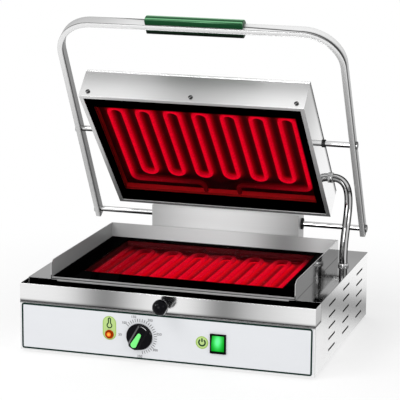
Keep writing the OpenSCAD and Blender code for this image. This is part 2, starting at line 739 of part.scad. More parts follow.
// Coiled counter springs round the shaft, each with a leg to the front of the box
spring_coil = helix(spring_turns, spring_rings, spring_r, spring_pitch);
spring_last = spring_coil[len(spring_coil) - 1];
spring_leg = shaft_y - box_y[0] - box_sheet - gap;
spring_path = concat(spring_coil, [spring_last + [spring_pitch / 4, spring_leg / 2, 0],
    spring_last + [spring_pitch / 3, spring_leg, 0]]);
spring_gap = spring_pitch * cos(atan(spring_pitch / (2 * PI * spring_r))) - spring_wire;
echo(counter_spring_least_gap = spring_gap);
module counter_springs() color(steel) in_frame() for (side = [0, 1]) mirror([side, 0, 0])
    translate([spring_x, shaft_y, shaft_z]) mirror([0, 1, 0])
        tube(spring_path, spring_wire / 2, spring_sides, [1, 0, 0]);
module spring_collars() color(dark) in_frame() for (side = [0, 1]) mirror([side, 0, 0]) difference() {
    rod_x(collar_d, collar_x, shaft_y, shaft_z);
    rod_x(shaft_d + 2 * fit, [collar_x[0] - eps, collar_x[1] + eps], shaft_y, shaft_z);
}

// Cable inlet on the rear wall and the terminals inside
module cable_gland() color(dark) in_frame() difference() {
    union() {
        rod_y(gland_d, gland_x, [rear_y - sheet - gland_thread, rear_y + gland_flange_t], gland_z);
        rod_y(gland_flange_d, gland_x, [rear_y, rear_y + gland_flange_t], gland_z);
        rod_y(gland_cap_d, gland_x, [rear_y + gland_flange_t, rear_y + gland_out], gland_z);
        rod_y(gland_flange_d, gland_x, [rear_y - sheet - gland_nut_t, rear_y - sheet], gland_z);
    }
    rod_y(gland_bore, gland_x, [rear_y - sheet - gland_thread - eps, rear_y + gland_out + eps], gland_z);
}
module terminal_block() color(white) in_frame() difference() {
    translate([gland_x + block_size[0] / 2, rear_y - block_back, inner_z]) cube(block_size);
    for (i = [0:block_ways - 1])
        rod_z(block_hole_d, gland_x + block_size[0] / 2 + (i + 0.5) * block_size[0] / block_ways,
            rear_y - block_back + block_size[1] / 2,
            [inner_z + block_size[2] / 2, inner_z + block_size[2] + eps]);
}

// Flexible steel conduit from the deck to the side of the lid, and its two nuts
module conduit() color(steel) in_frame() tube(conduit_path, conduit_d / 2, conduit_sides, [0, 1, 0]);
module conduit_base_nut() color(steel) in_frame() difference() {
    rod_z(nut_d, conduit_x, conduit_y, [deck_z, deck_z + nut_h]);
    rod_z(tie_d, conduit_x, conduit_y, [deck_z - eps, deck_z + nut_h + eps]);
}
module conduit_lid_nut() color(steel) on_lid() difference() {
    rod_x(nut_d, [lid_half, lid_half + nut_h], entry_along, entry_up);
    rod_x(tie_d, [lid_half - eps, lid_half + nut_h + eps], entry_along, entry_up);
}

// Drip tray: high front and ends flush with the body, lower rear wall
module drip_tray() color(steel) in_frame() difference() {
    block([-half_w, half_w], tray_y, [tray_low, tray_top]);
    block([-half_w + sheet, half_w - sheet], [tray_y[0] + sheet, tray_y[1] - sheet],
        [tray_low + sheet, tray_top + eps]);
    block([-half_w + sheet, half_w - sheet], [tray_y[1] - sheet - eps, tray_y[1] + eps],
        [tray_low + tray_back_h, tray_top + eps]);
}
// Ball knob turned in one piece with its stem and collar
module tray_knob() color(dark) in_frame() translate([0, front_y, ball_z]) rotate([90, 0, 0]) {
    cylinder(d1 = stem_foot_d, d2 = stem_neck_d, h = stem_foot_h);
    cylinder(d = stem_d, h = ball_reach);
    translate([0, 0, ball_reach]) sphere(d = ball_d);
}

// Bail of flat bar: two arms and a cross bar with wide bends
module bail_outline(half, top, r) {
    translate([-half, -arm_tail]) square([2 * half, top + arm_tail - r]);
    translate([-half + r, top - 2 * r]) square([2 * half - 2 * r, 2 * r]);
    for (side = [-1, 1]) translate([side * (half - r), top - r]) circle(r = r);
}
module bail() color(steel) on_arm() difference() {
    translate([0, bar_w / 2, 0]) rotate([90, 0, 0]) linear_extrude(bar_w) difference() {
        bail_outline(arm_out, bail_reach, bend_in + bar_t);
        translate([0, -eps]) bail_outline(arm_in, bail_reach - bar_t + eps, bend_in);
    }
    for (z = [0, pin_reach]) rod_x(spigot_d + 2 * fit, [-arm_out - eps, arm_out + eps], 0, z);
}
// Clip-on grip: round sleeve over, behind and under the cross bar, which stands out of its flat front
module grip() color(green) on_arm() translate([0, 0, bail_reach - bar_t / 2])
    carry_x([-grip_len / 2, grip_len / 2]) difference() {
        circle(d = grip_d);
        square([bar_w, bar_t], center = true);
        translate([-bar_w / 2 + grip_proud - grip_d, -grip_d]) square([grip_d, 2 * grip_d]);
    }

// Shaft and pins with spigots through the arms, and the screwed caps on them
module hinge_shaft() color(steel) on_arm() {
    rod_x(shaft_d, [-arm_in, arm_in], 0, 0);
    rod_x(spigot_d, [-arm_out, arm_out], 0, 0);
}
module pivot_pins() color(steel) on_arm() for (side = [0, 1]) mirror([side, 0, 0]) {
    rod_x(shaft_d, [lid_half - bush_len - pin_inside, arm_in], 0, pin_reach);
    rod_x(spigot_d, [arm_in, arm_out], 0, pin_reach);
}
module arm_screws() color(steel) on_arm() for (side = [0, 1], z = [0, pin_reach]) mirror([side, 0, 0])
    difference() {
        translate([arm_out, 0, z]) rotate([0, 90, 0])
            cylinder(d1 = cap_d, d2 = cap_top_d, h = cap_t);
        block([arm_out + cap_t - cap_slot_depth, arm_out + cap_t + eps], [-cap_d, cap_d],
            [z - cap_slot_w / 2, z + cap_slot_w / 2]);
    }

// Lid: walls with a rim under the glass
module pin_holes() rod_x(bush_od + 2 * fit, [-lid_half - eps, lid_half + eps], pin_along, pin_up);
module entry_hole() rod_x(tie_d, [lid_half - 2 * sheet - gap - eps, lid_half + eps], entry_along, entry_up);
module lid_shell() color(steel) on_lid() difference() {
    block([-lid_half, lid_half], [0, lid_len], [0, wall_top]);
    block([-lid_half + sheet, lid_half - sheet], [sheet, lid_len - sheet], [sheet, wall_top + eps]);
    block([-lid_half + lid_lip, lid_half - lid_lip], [lid_lip, lid_len - lid_lip], [-eps, sheet + eps]);
    pin_holes();
    entry_hole();
}
// Cover with an outer edge above the seam and a skirt inside the walls
module lid_cover() color(steel) on_lid() difference() {
    union() {
        block([-lid_half, lid_half], [0, lid_len], [lid_h - sheet, lid_h]);
        band(lid_half, [0, lid_len], lid_half - sheet, [sheet, lid_len - sheet],
            [lid_h - cover_rim, lid_h - sheet]);
        band(lid_half - sheet - gap, [sheet + gap, lid_len - sheet - gap], lid_half - 2 * sheet - gap,
            [2 * sheet + gap, lid_len - 2 * sheet - gap], [wall_top - skirt_drop, lid_h - sheet]);
    }
    pin_holes();
    entry_hole();
}
module upper_seal() color(dark) on_lid()
    band(lid_half - sheet - gap, [sheet + gap, lid_len - sheet - gap], lid_half - lid_lip,
        [lid_lip, lid_len - lid_lip], [sheet, upper_glass_low]);
module upper_glass() color(dark) on_lid()
    block([-lid_half + sheet + 2 * gap, lid_half - sheet - 2 * gap],
        [sheet + 2 * gap, lid_len - sheet - 2 * gap], [upper_glass_low, upper_glass_in]);
module upper_pan() color(steel) in_upper_pan() pan_shape(upper_shift);
module upper_insulation() color(board) in_upper_pan() insulation_shape();
module upper_element() color(red) in_upper_pan() heater_shape(upper_shift, upper_heater_y);
module lid_screws() color(steel) on_lid() for (x = [-1:1], end = [0, 1])
    translate([x * screw_side, end * lid_len, screw_up]) rotate([end == 0 ? 90 : -90, 0, 0])
        screw_head();
module pin_bushes() color(steel) on_lid() for (side = [0, 1]) mirror([side, 0, 0]) difference() {
    union() {
        rod_x(bush_od, [lid_half - bush_len, lid_half], pin_along, pin_up);
        rod_x(bush_flange_d, [lid_half, lid_half + bush_flange_t], pin_along, pin_up);
    }
    rod_x(shaft_d + 2 * fit, [lid_half - bush_len - eps, lid_half + bush_flange_t + eps],
        pin_along, pin_up);
}

echo(shaft = [0, shaft_y + frame_y, shaft_z], pins = [0, pin_y + frame_y, pin_z]);
echo(arm_travel = arm_travel, lid_turn = lid_turn, ratio = lid_turn / arm_travel, frame_y = frame_y);
echo(dial = [dial_x, panel_y + frame_y, control_height], rocker = [switch_x, rocker_pivot_y + frame_y]);

base_shell();
bottom_plate();
feet();
top_deck();
splash_guard();
plate_frame();
lower_seal();
lower_glass();
lower_pan();
lower_insulation();
lower_element();
thermostat_bulb();
thermostat();
rocker_housing();
pilot_lens();
lamp_holder();
control_panel();
hinge_box();
hinge_cover();
cover_screws();
hinge_bushes();
counter_springs();
cable_gland();
terminal_block();
conduit();
conduit_base_nut();
drip_tray();
tray_knob();
thermostat_knob();
knob_pointer();
thermostat_spindle();
rocker_button();
bail();
grip();
hinge_shaft();
spring_collars();
pivot_pins();
arm_screws();
lid_shell();
lid_cover();
upper_seal();
upper_glass();
upper_pan();
upper_insulation();
upper_element();
lid_screws();
pin_bushes();
conduit_lid_nut();
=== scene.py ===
import json
import math

import bmesh
import bpy
import numpy as np
from mathutils import Matrix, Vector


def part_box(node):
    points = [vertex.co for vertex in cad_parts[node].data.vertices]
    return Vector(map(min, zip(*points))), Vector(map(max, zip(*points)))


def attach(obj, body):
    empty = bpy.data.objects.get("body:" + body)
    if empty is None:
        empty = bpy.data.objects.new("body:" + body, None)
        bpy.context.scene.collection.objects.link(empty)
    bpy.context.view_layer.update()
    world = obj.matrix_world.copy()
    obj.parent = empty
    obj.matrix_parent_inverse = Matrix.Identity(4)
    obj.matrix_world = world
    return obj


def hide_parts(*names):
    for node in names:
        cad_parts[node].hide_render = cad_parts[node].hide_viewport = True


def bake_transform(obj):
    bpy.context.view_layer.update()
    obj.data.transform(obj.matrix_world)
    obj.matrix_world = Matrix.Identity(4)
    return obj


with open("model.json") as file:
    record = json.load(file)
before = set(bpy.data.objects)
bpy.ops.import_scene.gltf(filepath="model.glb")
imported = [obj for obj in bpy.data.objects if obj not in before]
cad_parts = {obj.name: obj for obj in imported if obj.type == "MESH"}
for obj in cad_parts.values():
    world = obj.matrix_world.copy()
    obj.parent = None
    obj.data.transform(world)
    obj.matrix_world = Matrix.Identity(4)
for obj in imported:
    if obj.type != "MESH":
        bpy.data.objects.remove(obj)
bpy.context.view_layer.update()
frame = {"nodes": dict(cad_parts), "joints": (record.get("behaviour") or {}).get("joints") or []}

# Places and axes, in metres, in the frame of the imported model
MM = 0.001
places = {joint["name"]: np.array(joint.get("pos_m") or (0, 0, 0), float) for joint in frame["joints"]}
SHAFT = places["arm_hinge"]
PIN = places["lid_pivot"]
DIAL = places["knob_turn"]
RIGHT = np.array((1.0, 0.0, 0.0))
BACK = np.array((0.0, 1.0, 0.0))
UP = np.array((0.0, 0.0, 1.0))
ARM_UP = (PIN - SHAFT) / np.linalg.norm(PIN - SHAFT)
ARM_BACK = np.cross(ARM_UP, RIGHT)
LID_SLOPE = math.radians(47)
LID_BACK = np.array((0.0, math.cos(LID_SLOPE), -math.sin(LID_SLOPE)))
LID_UP = np.array((0.0, math.sin(LID_SLOPE), math.cos(LID_SLOPE)))

# Sizes of the lid in its own frame: the pin's place, length and height
PIN_ALONG = 165.7 * MM
PIN_HIGH = 51.4 * MM
LID_LENGTH = 319.0 * MM
LID_HEIGHT = 58.5 * MM

# Flat bar of the bail, and how far its cross bar lies from the shaft
BAR_WIDE = 20 * MM
BAR_THICK = 9.5 * MM
BAIL_REACH = 445 * MM - BAR_THICK / 2


def node_box(name):
    """Lowest and highest corner of a CAD node as arrays."""
    low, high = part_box(name)
    return np.array(low), np.array(high)


def node_middle(name):
    """Middle of a CAD node's box."""
    low, high = node_box(name)
    return (low + high) / 2


def lid_point(x, along, high):
    """Point of the lid's frame: along its length from the front edge and up from its lower face."""
    return PIN + x * RIGHT + (along - PIN_ALONG) * LID_BACK + (high - PIN_HIGH) * LID_UP


PANEL_FACE = node_box("control_panel")[0][1]


def panel_point(x, z):
    """Point on the front of the control panel."""
    return np.array((x, PANEL_FACE, z))


# Surfaces
def grid_faces(rows, columns, round_rows=False):
    """Quads of a grid whose columns go round; with round_rows the last row also meets the first."""
    i, j = np.meshgrid(np.arange(rows if round_rows else rows - 1), np.arange(columns), indexing="ij")
    near = i * columns
    far = (i + 1) % rows * columns
    k = (j + 1) % columns
    return np.stack([near + j, near + k, far + k, far + j], -1).reshape(-1, 4).tolist()


def skin(rings):
    """Closed surface through a stack of rings, with a fan to the middle of each end ring."""
    rows, columns = rings.shape[:2]
    points = np.concatenate([rings.reshape(-1, 3), [rings[0].mean(0), rings[-1].mean(0)]])
    j = np.arange(columns)
    k = (j + 1) % columns
    tail = (rows - 1) * columns
    first = np.stack([np.full(columns, rows * columns), k, j], -1).tolist()
    last = np.stack([np.full(columns, rows * columns + 1), tail + j, tail + k], -1).tolist()
    return points, grid_faces(rows, columns) + first + last


def prism(rings):
    """Closed surface through a stack of rings, each end ring being one flat face."""
    rows, columns = rings.shape[:2]
    ends = [list(range(columns))[::-1], list(range((rows - 1) * columns, rows * columns))]
    return rings.reshape(-1, 3), grid_faces(rows, columns) + ends


def hoop(rings):
    """Surface through a stack of rings whose last ring meets the first."""
    return rings.reshape(-1, 3), grid_faces(rings.shape[0], rings.shape[1], True)


def together(surfaces):
    """Several closed surfaces as one list of points and faces."""
    counts = np.cumsum([0] + [len(points) for points, _ in surfaces])
    faces = [[start + i for i in face] for start, (_, some) in zip(counts, surfaces) for face in some]
    return np.concatenate([points for points, _ in surfaces]), faces


def with_poles(values):
    """Values on a stack of rings, with the mean of each end ring added for the poles that skin makes."""
    flat = values.reshape((-1,) + values.shape[2:])
    return np.concatenate([flat, values[:1].mean(1), values[-1:].mean(1)])


def side_axes(axis):
    """Two unit vectors square to an axis and to each other."""
    axis = np.asarray(axis, float)
    helper = UP if abs(axis[2]) < 0.9 else BACK
    first = np.cross(helper, axis)
    first /= np.linalg.norm(first)
    return first, np.cross(axis, first)


def circle(count, start=0.0):
    """Unit circle as an array of (cosine, sine)."""
    angle = start + np.linspace(0, 2 * np.pi, count, endpoint=False)
    return np.stack([np.cos(angle), np.sin(angle)], -1)


def turned_rings(profile, centre, axis, sides=48):
    """Rings of a turned piece: each (distance along the axis, radius) of the profile becomes a circle."""
    first, second = side_axes(axis)
    profile = np.asarray(profile, float)
    around = circle(sides) @ np.array([first, second])
    return centre + profile[:, :1, None] * np.asarray(axis, float) + profile[:, 1:, None] * around


def turned(profile, centre, axis, sides=48):
    """Solid of revolution about an axis."""
    return skin(turned_rings(profile, centre, axis, sides))


def turned_hoop(profile, centre, axis, sides=48):
    """Solid of revolution with a bore: the profile is a closed loop away from the axis."""
    return hoop(turned_rings(profile, centre, axis, sides))


def arc(middle, radius, start, end, steps=7):
    """Points on an arc from the start angle to the end angle, in degrees."""
    angle = np.radians(np.linspace(start, end, steps))
    return np.asarray(middle) + radius * np.stack([np.cos(angle), np.sin(angle)], -1)


def rounded_rectangle(half_x, half_y, radius, steps=5):
    """Outline of a rectangle whose corners are quarter circles, anticlockwise."""
    corners = ((1, 1), (-1, 1), (-1, -1), (1, -1))
    middles = np.array(corners) * (half_x - radius, half_y - radius)
    return np.concatenate([arc(middle, radius, 90 * k, 90 * k + 90, steps)
                           for k, middle in enumerate(middles)])


def two_circle_outline(first_radius, second_radius, distance, steps=12):
    """Outline of two circles on a line and the two straight lines that touch both, drawn about the first."""
    lean = math.degrees(math.asin((second_radius - first_radius) / distance))
    near = arc((0, 0), first_radius, 90 + lean, 270 - lean, steps)
    far = arc((distance, 0), second_radius, -90 - lean, 90 + lean, steps)
    return np.concatenate([near, far])


def outline_normals(outline):
    """Unit vectors square to a closed outline, pointing out where it runs anticlockwise."""
    step = np.roll(outline, -1, 0) - np.roll(outline, 1, 0)
    step /= np.linalg.norm(step, axis=1, keepdims=True)
    return np.stack([step[:, 1], -step[:, 0]], -1)


def on_plane(flat, origin, x_axis, y_axis, height):
    """Flat points set on a plane and lifted square to it by a height."""
    out = np.cross(x_axis, y_axis)
    return origin + flat[..., :1] * x_axis + flat[..., 1:] * y_axis + height * out


def plate(outline, thickness, edge, origin, x_axis=RIGHT, y_axis=UP):
    """Flat plate: the outline moves in along its normals by edge * (1 - sine) towards each face."""
    normals = outline_normals(outline)
    quarter = np.linspace(0, np.pi / 2, 3)
    lower = [(edge * (1 - math.sin(a)), edge * (1 - math.cos(a))) for a in quarter]
    steps = lower + [(inset, thickness - height) for inset, height in lower[::-1]]
    return prism(np.array([on_plane(outline - inset * normals, origin, x_axis, y_axis, height)
                           for inset, height in steps]))


def line_round(outline, width, thickness, origin, x_axis=RIGHT, y_axis=UP):
    """Raised line of one width that follows a closed outline."""
    normals = outline_normals(outline) * width / 2
    corners = ((1, 0), (1, thickness), (-1, thickness), (-1, 0))
    return hoop(np.array([on_plane(outline + side * normals, origin, x_axis, y_axis, height)
                          for side, height in corners]))


def sweep(profiles, path, first, second):
    """Rings of a profile carried along a path: path + first part * first axis + second part * second axis."""
    profiles = np.broadcast_to(profiles, (len(path),) + profiles.shape[-2:])
    first = np.broadcast_to(first, path.shape)
    second = np.broadcast_to(second, path.shape)
    return path[:, None] + profiles[..., :1] * first[:, None] + profiles[..., 1:] * second[:, None]


def slotted_head(centre, axis, slot_axis, radius, height, slot_width, slot_depth):
    """Screw head as a row of chord sections: each is as wide as the circle there, crowned as
    1 - 0.3 * (distance / radius) squared, and lower by the slot's depth where it lies within half a slot's
    width of the middle. Also the place across the slot, in half widths."""
    axis = np.asarray(axis, float)
    cross_axis = np.cross(axis, slot_axis)
    half = slot_width / 2
    lip = 0.02 * slot_width
    outer = radius * np.sin(np.radians(np.linspace(3, 86, 10)))
    outer = outer[outer > half + lip]
    v = np.concatenate([-outer[::-1], [-half - lip, -half, 0, half, half + lip], outer])
    chord = np.sqrt(radius ** 2 - v ** 2)
    s = chord[:, None] * np.cos(np.linspace(0, np.pi, 15))
    crown = height * (1 - 0.3 * (s ** 2 + v[:, None] ** 2) / radius ** 2)
    crown -= slot_depth * (np.abs(v[:, None]) <= half)
    foot = np.stack([-chord, chord], -1)
    along = np.concatenate([s, foot], 1)
    high = np.concatenate([crown, np.zeros_like(foot)], 1)
    rings = centre + along[..., None] * slot_axis + v[:, None, None] * cross_axis + high[..., None] * axis
    return prism(rings), np.repeat(np.stack([v / half, 0 * v, 0 * v], -1), rings.shape[1], 0)


# Pieces
def link_piece(name, mesh, body):
    """Puts a mesh in the scene, riding on a body where one is named."""
    piece = bpy.data.objects.new(name, mesh)
    bpy.context.scene.collection.objects.link(piece)
    if body:
        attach(piece, body)
    return piece


def new_mesh(name, surface, material, attributes=None, crease=40):
    """Mesh of a surface: values per point are kept, doubles merged, faces turned outward, and creases
    kept sharp."""
    points, faces = surface
    mesh = bpy.data.meshes.new(name)
    mesh.from_pydata(points.tolist(), [], faces)
    for label, values in (attributes or {}).items():
        vector = values.ndim > 1
        layer = mesh.attributes.new(label, "FLOAT_VECTOR" if vector else "FLOAT", "POINT")
        layer.data.foreach_set("vector" if vector else "value", values.astype(np.float32).ravel())
    work = bmesh.new()
    work.from_mesh(mesh)
    bmesh.ops.remove_doubles(work, verts=work.verts, dist=0.0005 * MM)
    bmesh.ops.recalc_face_normals(work, faces=work.faces)
    work.to_mesh(mesh)
    work.free()
    mesh.shade_smooth()
    mesh.set_sharp_from_angle(angle=math.radians(crease))
    mesh.materials.append(material)
    return mesh


def add_piece(name, surface, body, material, nodes=(), attributes=None, crease=40):
    """New piece from a surface; it stands for the CAD nodes named."""
    piece = link_piece(name, new_mesh(name, surface, material, attributes, crease), body)
    if nodes:
        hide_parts(*nodes)
    return piece


def round_edges(piece, width, segments=2, angle=35):
    """Rounds the sharp edges of a piece and keeps its large faces flat in the light."""
    rounding = piece.modifiers.new("rounding", "BEVEL")
    rounding.width = width
    rounding.segments = segments
    rounding.limit_method = "ANGLE"
    rounding.angle_limit = math.radians(angle)
    flat = piece.modifiers.new("flat_faces", "WEIGHTED_NORMAL")
    flat.mode = "FACE_AREA"
    flat.weight = 100


def softened(node, body, material, others=(), edge=0.4 * MM):
    """Copy of a CAD node with its triangles joined into flat faces and its edges rounded. Each of others is
    a material and a test that says, from face middles and normals, which faces get it."""
    work = bmesh.new()
    work.from_mesh(frame["nodes"][node].data)
    bmesh.ops.remove_doubles(work, verts=work.verts, dist=0.001 * MM)
    bmesh.ops.dissolve_limit(work, angle_limit=math.radians(0.5), verts=work.verts, edges=work.edges)
    mesh = bpy.data.meshes.new(node + "_finish")
    work.to_mesh(mesh)
    work.free()
    mesh.shade_smooth()
    mesh.materials.clear()
    mesh.materials.append(material)
    middles = np.empty(len(mesh.polygons) * 3)
    normals = np.empty(len(mesh.polygons) * 3)
    mesh.polygons.foreach_get("center", middles)
    mesh.polygons.foreach_get("normal", normals)
    chosen = np.zeros(len(mesh.polygons), np.int32)
    for number, (other, test) in enumerate(others, 1):
        mesh.materials.append(other)
        chosen[test(middles.reshape(-1, 3), normals.reshape(-1, 3))] = number
    mesh.polygons.foreach_set("material_index", chosen)
    piece = link_piece(node + "_finish", mesh, body)
    round_edges(piece, edge)
    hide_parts(node)
    return piece


def inner_faces(node):
    """Test for faces that don't lie on the outside of a node's box."""
    low, high = node_box(node)

    def test(middles, normals):
        """True for each face away from the box's outside."""
        outer = (np.abs(middles - low) < 0.05 * MM) & (normals < -0.9)
        outer |= (np.abs(middles - high) < 0.05 * MM) & (normals > 0.9)
        return ~outer.any(1)
    return test


def faces_to(direction):
    """Test for faces that look along a direction, square to it within about 25 degrees."""
    def test(middles, normals):
        """True where the normal's share along the direction is over 0.9."""
        return normals @ direction > 0.9
    return test


def faces_sideways(middles, normals):
    """Test for faces that look left or right."""
    return np.abs(normals[:, 0]) > 0.9


# Shader node groups
VECTOR, FLOAT = "NodeSocketVector", "NodeSocketFloat"


def new_group(name, inputs, outputs):
    """Empty shader node group; each input is a name, a socket type and a default."""
    group = bpy.data.node_groups.new(name, "ShaderNodeTree")
    for label, kind, default in inputs:
        group.interface.new_socket(label, in_out="INPUT", socket_type=kind).default_value = default
    for label, kind in outputs:
        group.interface.new_socket(label, in_out="OUTPUT", socket_type=kind)
    return group, group.nodes.new("NodeGroupInput"), group.nodes.new("NodeGroupOutput")


def feed(tree, value, socket):
    """Links a socket, or sets a plain value."""
    if isinstance(value, bpy.types.NodeSocket):
        tree.links.new(value, socket)
    else:
        socket.default_value = value


def calc(tree, operation, first, second=0.0, clamp=False):
    """Math node on sockets or numbers; gives back its output."""
    node = tree.nodes.new("ShaderNodeMath")
    node.operation = operation
    node.use_clamp = clamp
    feed(tree, first, node.inputs[0])
    feed(tree, second, node.inputs[1])
    return node.outputs[0]


def vector_calc(tree, operation, first, second, output="Vector"):
    """Vector Math node on sockets or vectors; gives back its output."""
    node = tree.nodes.new("ShaderNodeVectorMath")
    node.operation = operation
    feed(tree, first, node.inputs[0])
    feed(tree, second, node.inputs["Scale" if operation == "SCALE" else 1])
    return node.outputs[output]


def noise(tree, vector, scale, detail=2.0):
    """Noise texture on a vector."""
    node = tree.nodes.new("ShaderNodeTexNoise")
    node.inputs["Scale"].default_value = scale
    node.inputs["Detail"].default_value = detail
    tree.links.new(vector, node.inputs["Vector"])
    return node.outputs["Fac"]


def bell(tree, value, centre, width):
    """exp(-((value - centre) / width) squared)."""
    share = calc(tree, "DIVIDE", calc(tree, "SUBTRACT", value, centre), width)
    return calc(tree, "EXPONENT", calc(tree, "MULTIPLY", calc(tree, "MULTIPLY", share, share), -1.0))


def build_soft_band():
    """Tone times 1 - depth * exp(-((place along the direction - centre) / width) squared)."""
    group, source, sink = new_group("soft_band", [
        ("Vector", VECTOR, (0, 0, 0)), ("Direction", VECTOR, (1, 0, 0)), ("Centre", FLOAT, 0.0),
        ("Width", FLOAT, 0.1), ("Depth", FLOAT, 0.3), ("Tone", FLOAT, 1.0)], [("Tone", FLOAT)])
    given = source.outputs
    along = vector_calc(group, "DOT_PRODUCT", given["Vector"], given["Direction"], "Value")
    fall = bell(group, along, given["Centre"], given["Width"])
    dim = calc(group, "SUBTRACT", 1.0, calc(group, "MULTIPLY", fall, given["Depth"]))
    group.links.new(calc(group, "MULTIPLY", dim, given["Tone"]), sink.inputs["Tone"])
    return group


def build_brushed_grain():
    """Fine lines from noise on stretched coordinates, and cloudy smudges that lift the roughness."""
    group, source, sink = new_group("brushed_grain", [
        ("Vector", VECTOR, (0, 0, 0)), ("Stretch", VECTOR, (8, 8, 900)), ("Roughness", FLOAT, 0.16),
        ("Smudge", FLOAT, 0.08)], [("Roughness", FLOAT), ("Height", FLOAT), ("Tone", FLOAT)])
    given = source.outputs
    lines = noise(group, vector_calc(group, "MULTIPLY", given["Vector"], given["Stretch"]), 1.0, 4.0)
    cloud = noise(group, given["Vector"], 14.0, 3.0)
    smear = calc(group, "MULTIPLY", calc(group, "SUBTRACT", cloud, 0.45, True), given["Smudge"])
    fine = calc(group, "MULTIPLY", calc(group, "SUBTRACT", lines, 0.5), 0.06)
    rough = calc(group, "ADD", calc(group, "ADD", given["Roughness"], fine), smear)
    group.links.new(rough, sink.inputs["Roughness"])
    group.links.new(lines, sink.inputs["Height"])
    tone = calc(group, "ADD", calc(group, "MULTIPLY", lines, 0.1), 0.95)
    group.links.new(tone, sink.inputs["Tone"])
    return group


def build_fine_speckle():
    """Fine speckle for roughness and height, and a slow drift of tone."""
    group, source, sink = new_group("fine_speckle", [
        ("Vector", VECTOR, (0, 0, 0)), ("Scale", FLOAT, 900.0), ("Roughness", FLOAT, 0.3),
        ("Drift", FLOAT, 0.1)], [("Roughness", FLOAT), ("Height", FLOAT), ("Tone", FLOAT)])
    given = source.outputs
    speckle = noise(group, vector_calc(group, "SCALE", given["Vector"], given["Scale"]), 1.0)
    cloud = noise(group, given["Vector"], 22.0)
    change = calc(group, "MULTIPLY", calc(group, "SUBTRACT", speckle, 0.5), 0.12)
    group.links.new(calc(group, "ADD", given["Roughness"], change), sink.inputs["Roughness"])
    group.links.new(speckle, sink.inputs["Height"])
    drift = calc(group, "MULTIPLY", calc(group, "SUBTRACT", cloud, 0.5), given["Drift"])
    group.links.new(calc(group, "ADD", drift, 1.0), sink.inputs["Tone"])
    return group


def build_clear_window():
    """Mask of a rectangle: how far a place lies inside each pair of sides, over the edge width, clamped and
    multiplied."""
    group, source, sink = new_group("clear_window", [
        ("Vector", VECTOR, (0, 0, 0)), ("Middle", VECTOR, (0, 0, 0)), ("Along", VECTOR, (0, 1, 0)),
        ("Half Width", FLOAT, 0.1), ("Half Length", FLOAT, 0.1), ("Edge", FLOAT, 0.002)], [("Mask", FLOAT)])
    given = source.outputs
    offset = vector_calc(group, "SUBTRACT", given["Vector"], given["Middle"])
    sides = []
    for axis, half in (((1, 0, 0), "Half Width"), (given["Along"], "Half Length")):
        reach = calc(group, "ABSOLUTE", vector_calc(group, "DOT_PRODUCT", offset, axis, "Value"))
        room = calc(group, "SUBTRACT", given[half], reach)
        sides.append(calc(group, "DIVIDE", room, given["Edge"], True))
    group.links.new(calc(group, "MULTIPLY", *sides), sink.inputs["Mask"])
    return group


soft_band = build_soft_band()
brushed_grain = build_brushed_grain()
fine_speckle = build_fine_speckle()
clear_window = build_clear_window()


# Materials
def new_material(name):
    """Material with a Principled BSDF; gives back it, its tree, its shader and the Object coordinates."""
    material = bpy.data.materials.new(name)
    material.use_nodes = True
    tree = material.node_tree
    shader = next(node for node in tree.nodes if node.type == "BSDF_PRINCIPLED")
    return material, tree, shader, tree.nodes.new("ShaderNodeTexCoord").outputs["Object"]


def place_group(tree, group, vector, **values):
    """Group node fed with a vector; the other inputs are set by name, with _ for a space."""
    node = tree.nodes.new("ShaderNodeGroup")
    node.node_tree = group
    tree.links.new(vector, node.inputs["Vector"])
    for label, value in values.items():
        node.inputs[label.replace("_", " ")].default_value = value
    return node


def add_bands(tree, vector, tone, bands):
    """Carries a tone, or one where none is given, through bands: direction, centre, width and depth."""
    for direction, centre, width, depth in bands:
        band = place_group(tree, soft_band, vector, Direction=tuple(direction), Centre=centre, Width=width,
                           Depth=depth)
        if tone is not None:
            tree.links.new(tone, band.inputs["Tone"])
        tone = band.outputs["Tone"]
    return tone


def add_bump(tree, shader, height, strength, distance):
    """Bump from a height that changes over the surface."""
    node = tree.nodes.new("ShaderNodeBump")
    node.inputs["Strength"].default_value = strength
    node.inputs["Distance"].default_value = distance
    tree.links.new(height, node.inputs["Height"])
    tree.links.new(node.outputs["Normal"], shader.inputs["Normal"])


def facing(tree):
    """The way the surface faces, in Object coordinates."""
    return tree.nodes.new("ShaderNodeTexCoord").outputs["Normal"]


def steel(name, tone, roughness, stretch, bands=(), stripes=(), ring_stripes=(), turn=0.0, smudge=0.08,
          metal=1.0, rim=1.0):
    """Stainless steel: brushed lines, smudges, and painted light and shade: bands by place, stripes by the
    way the surface faces, and ring stripes by the value kept at each point, which paint reflections,
    highlights and shaded lines into its colour. metal is the share of mirror metal, and rim the tint of its
    gloss at a flat angle."""
    material, tree, shader, place = new_material(name)
    grain_place = place
    if turn:
        mapping = tree.nodes.new("ShaderNodeMapping")
        mapping.inputs["Rotation"].default_value = (turn, 0, 0)
        tree.links.new(place, mapping.inputs["Vector"])
        grain_place = mapping.outputs["Vector"]
    grain = place_group(tree, brushed_grain, grain_place, Stretch=stretch, Roughness=roughness, Smudge=smudge)
    level = add_bands(tree, place, grain.outputs["Tone"], bands)
    if stripes:
        level = add_bands(tree, facing(tree), level, stripes)
    if ring_stripes:
        ring = tree.nodes.new("ShaderNodeAttribute")
        ring.attribute_name = "ring"
        level = add_bands(tree, ring.outputs["Vector"], level, ring_stripes)
    tree.links.new(vector_calc(tree, "SCALE", (tone, tone, tone), level), shader.inputs["Base Color"])
    tree.links.new(grain.outputs["Roughness"], shader.inputs["Roughness"])
    shader.inputs["Metallic"].default_value = metal
    shader.inputs["Specular Tint"].default_value = (rim, rim, rim, 1)
    add_bump(tree, shader, grain.outputs["Height"], 0.04, 0.1 * MM)
    return material


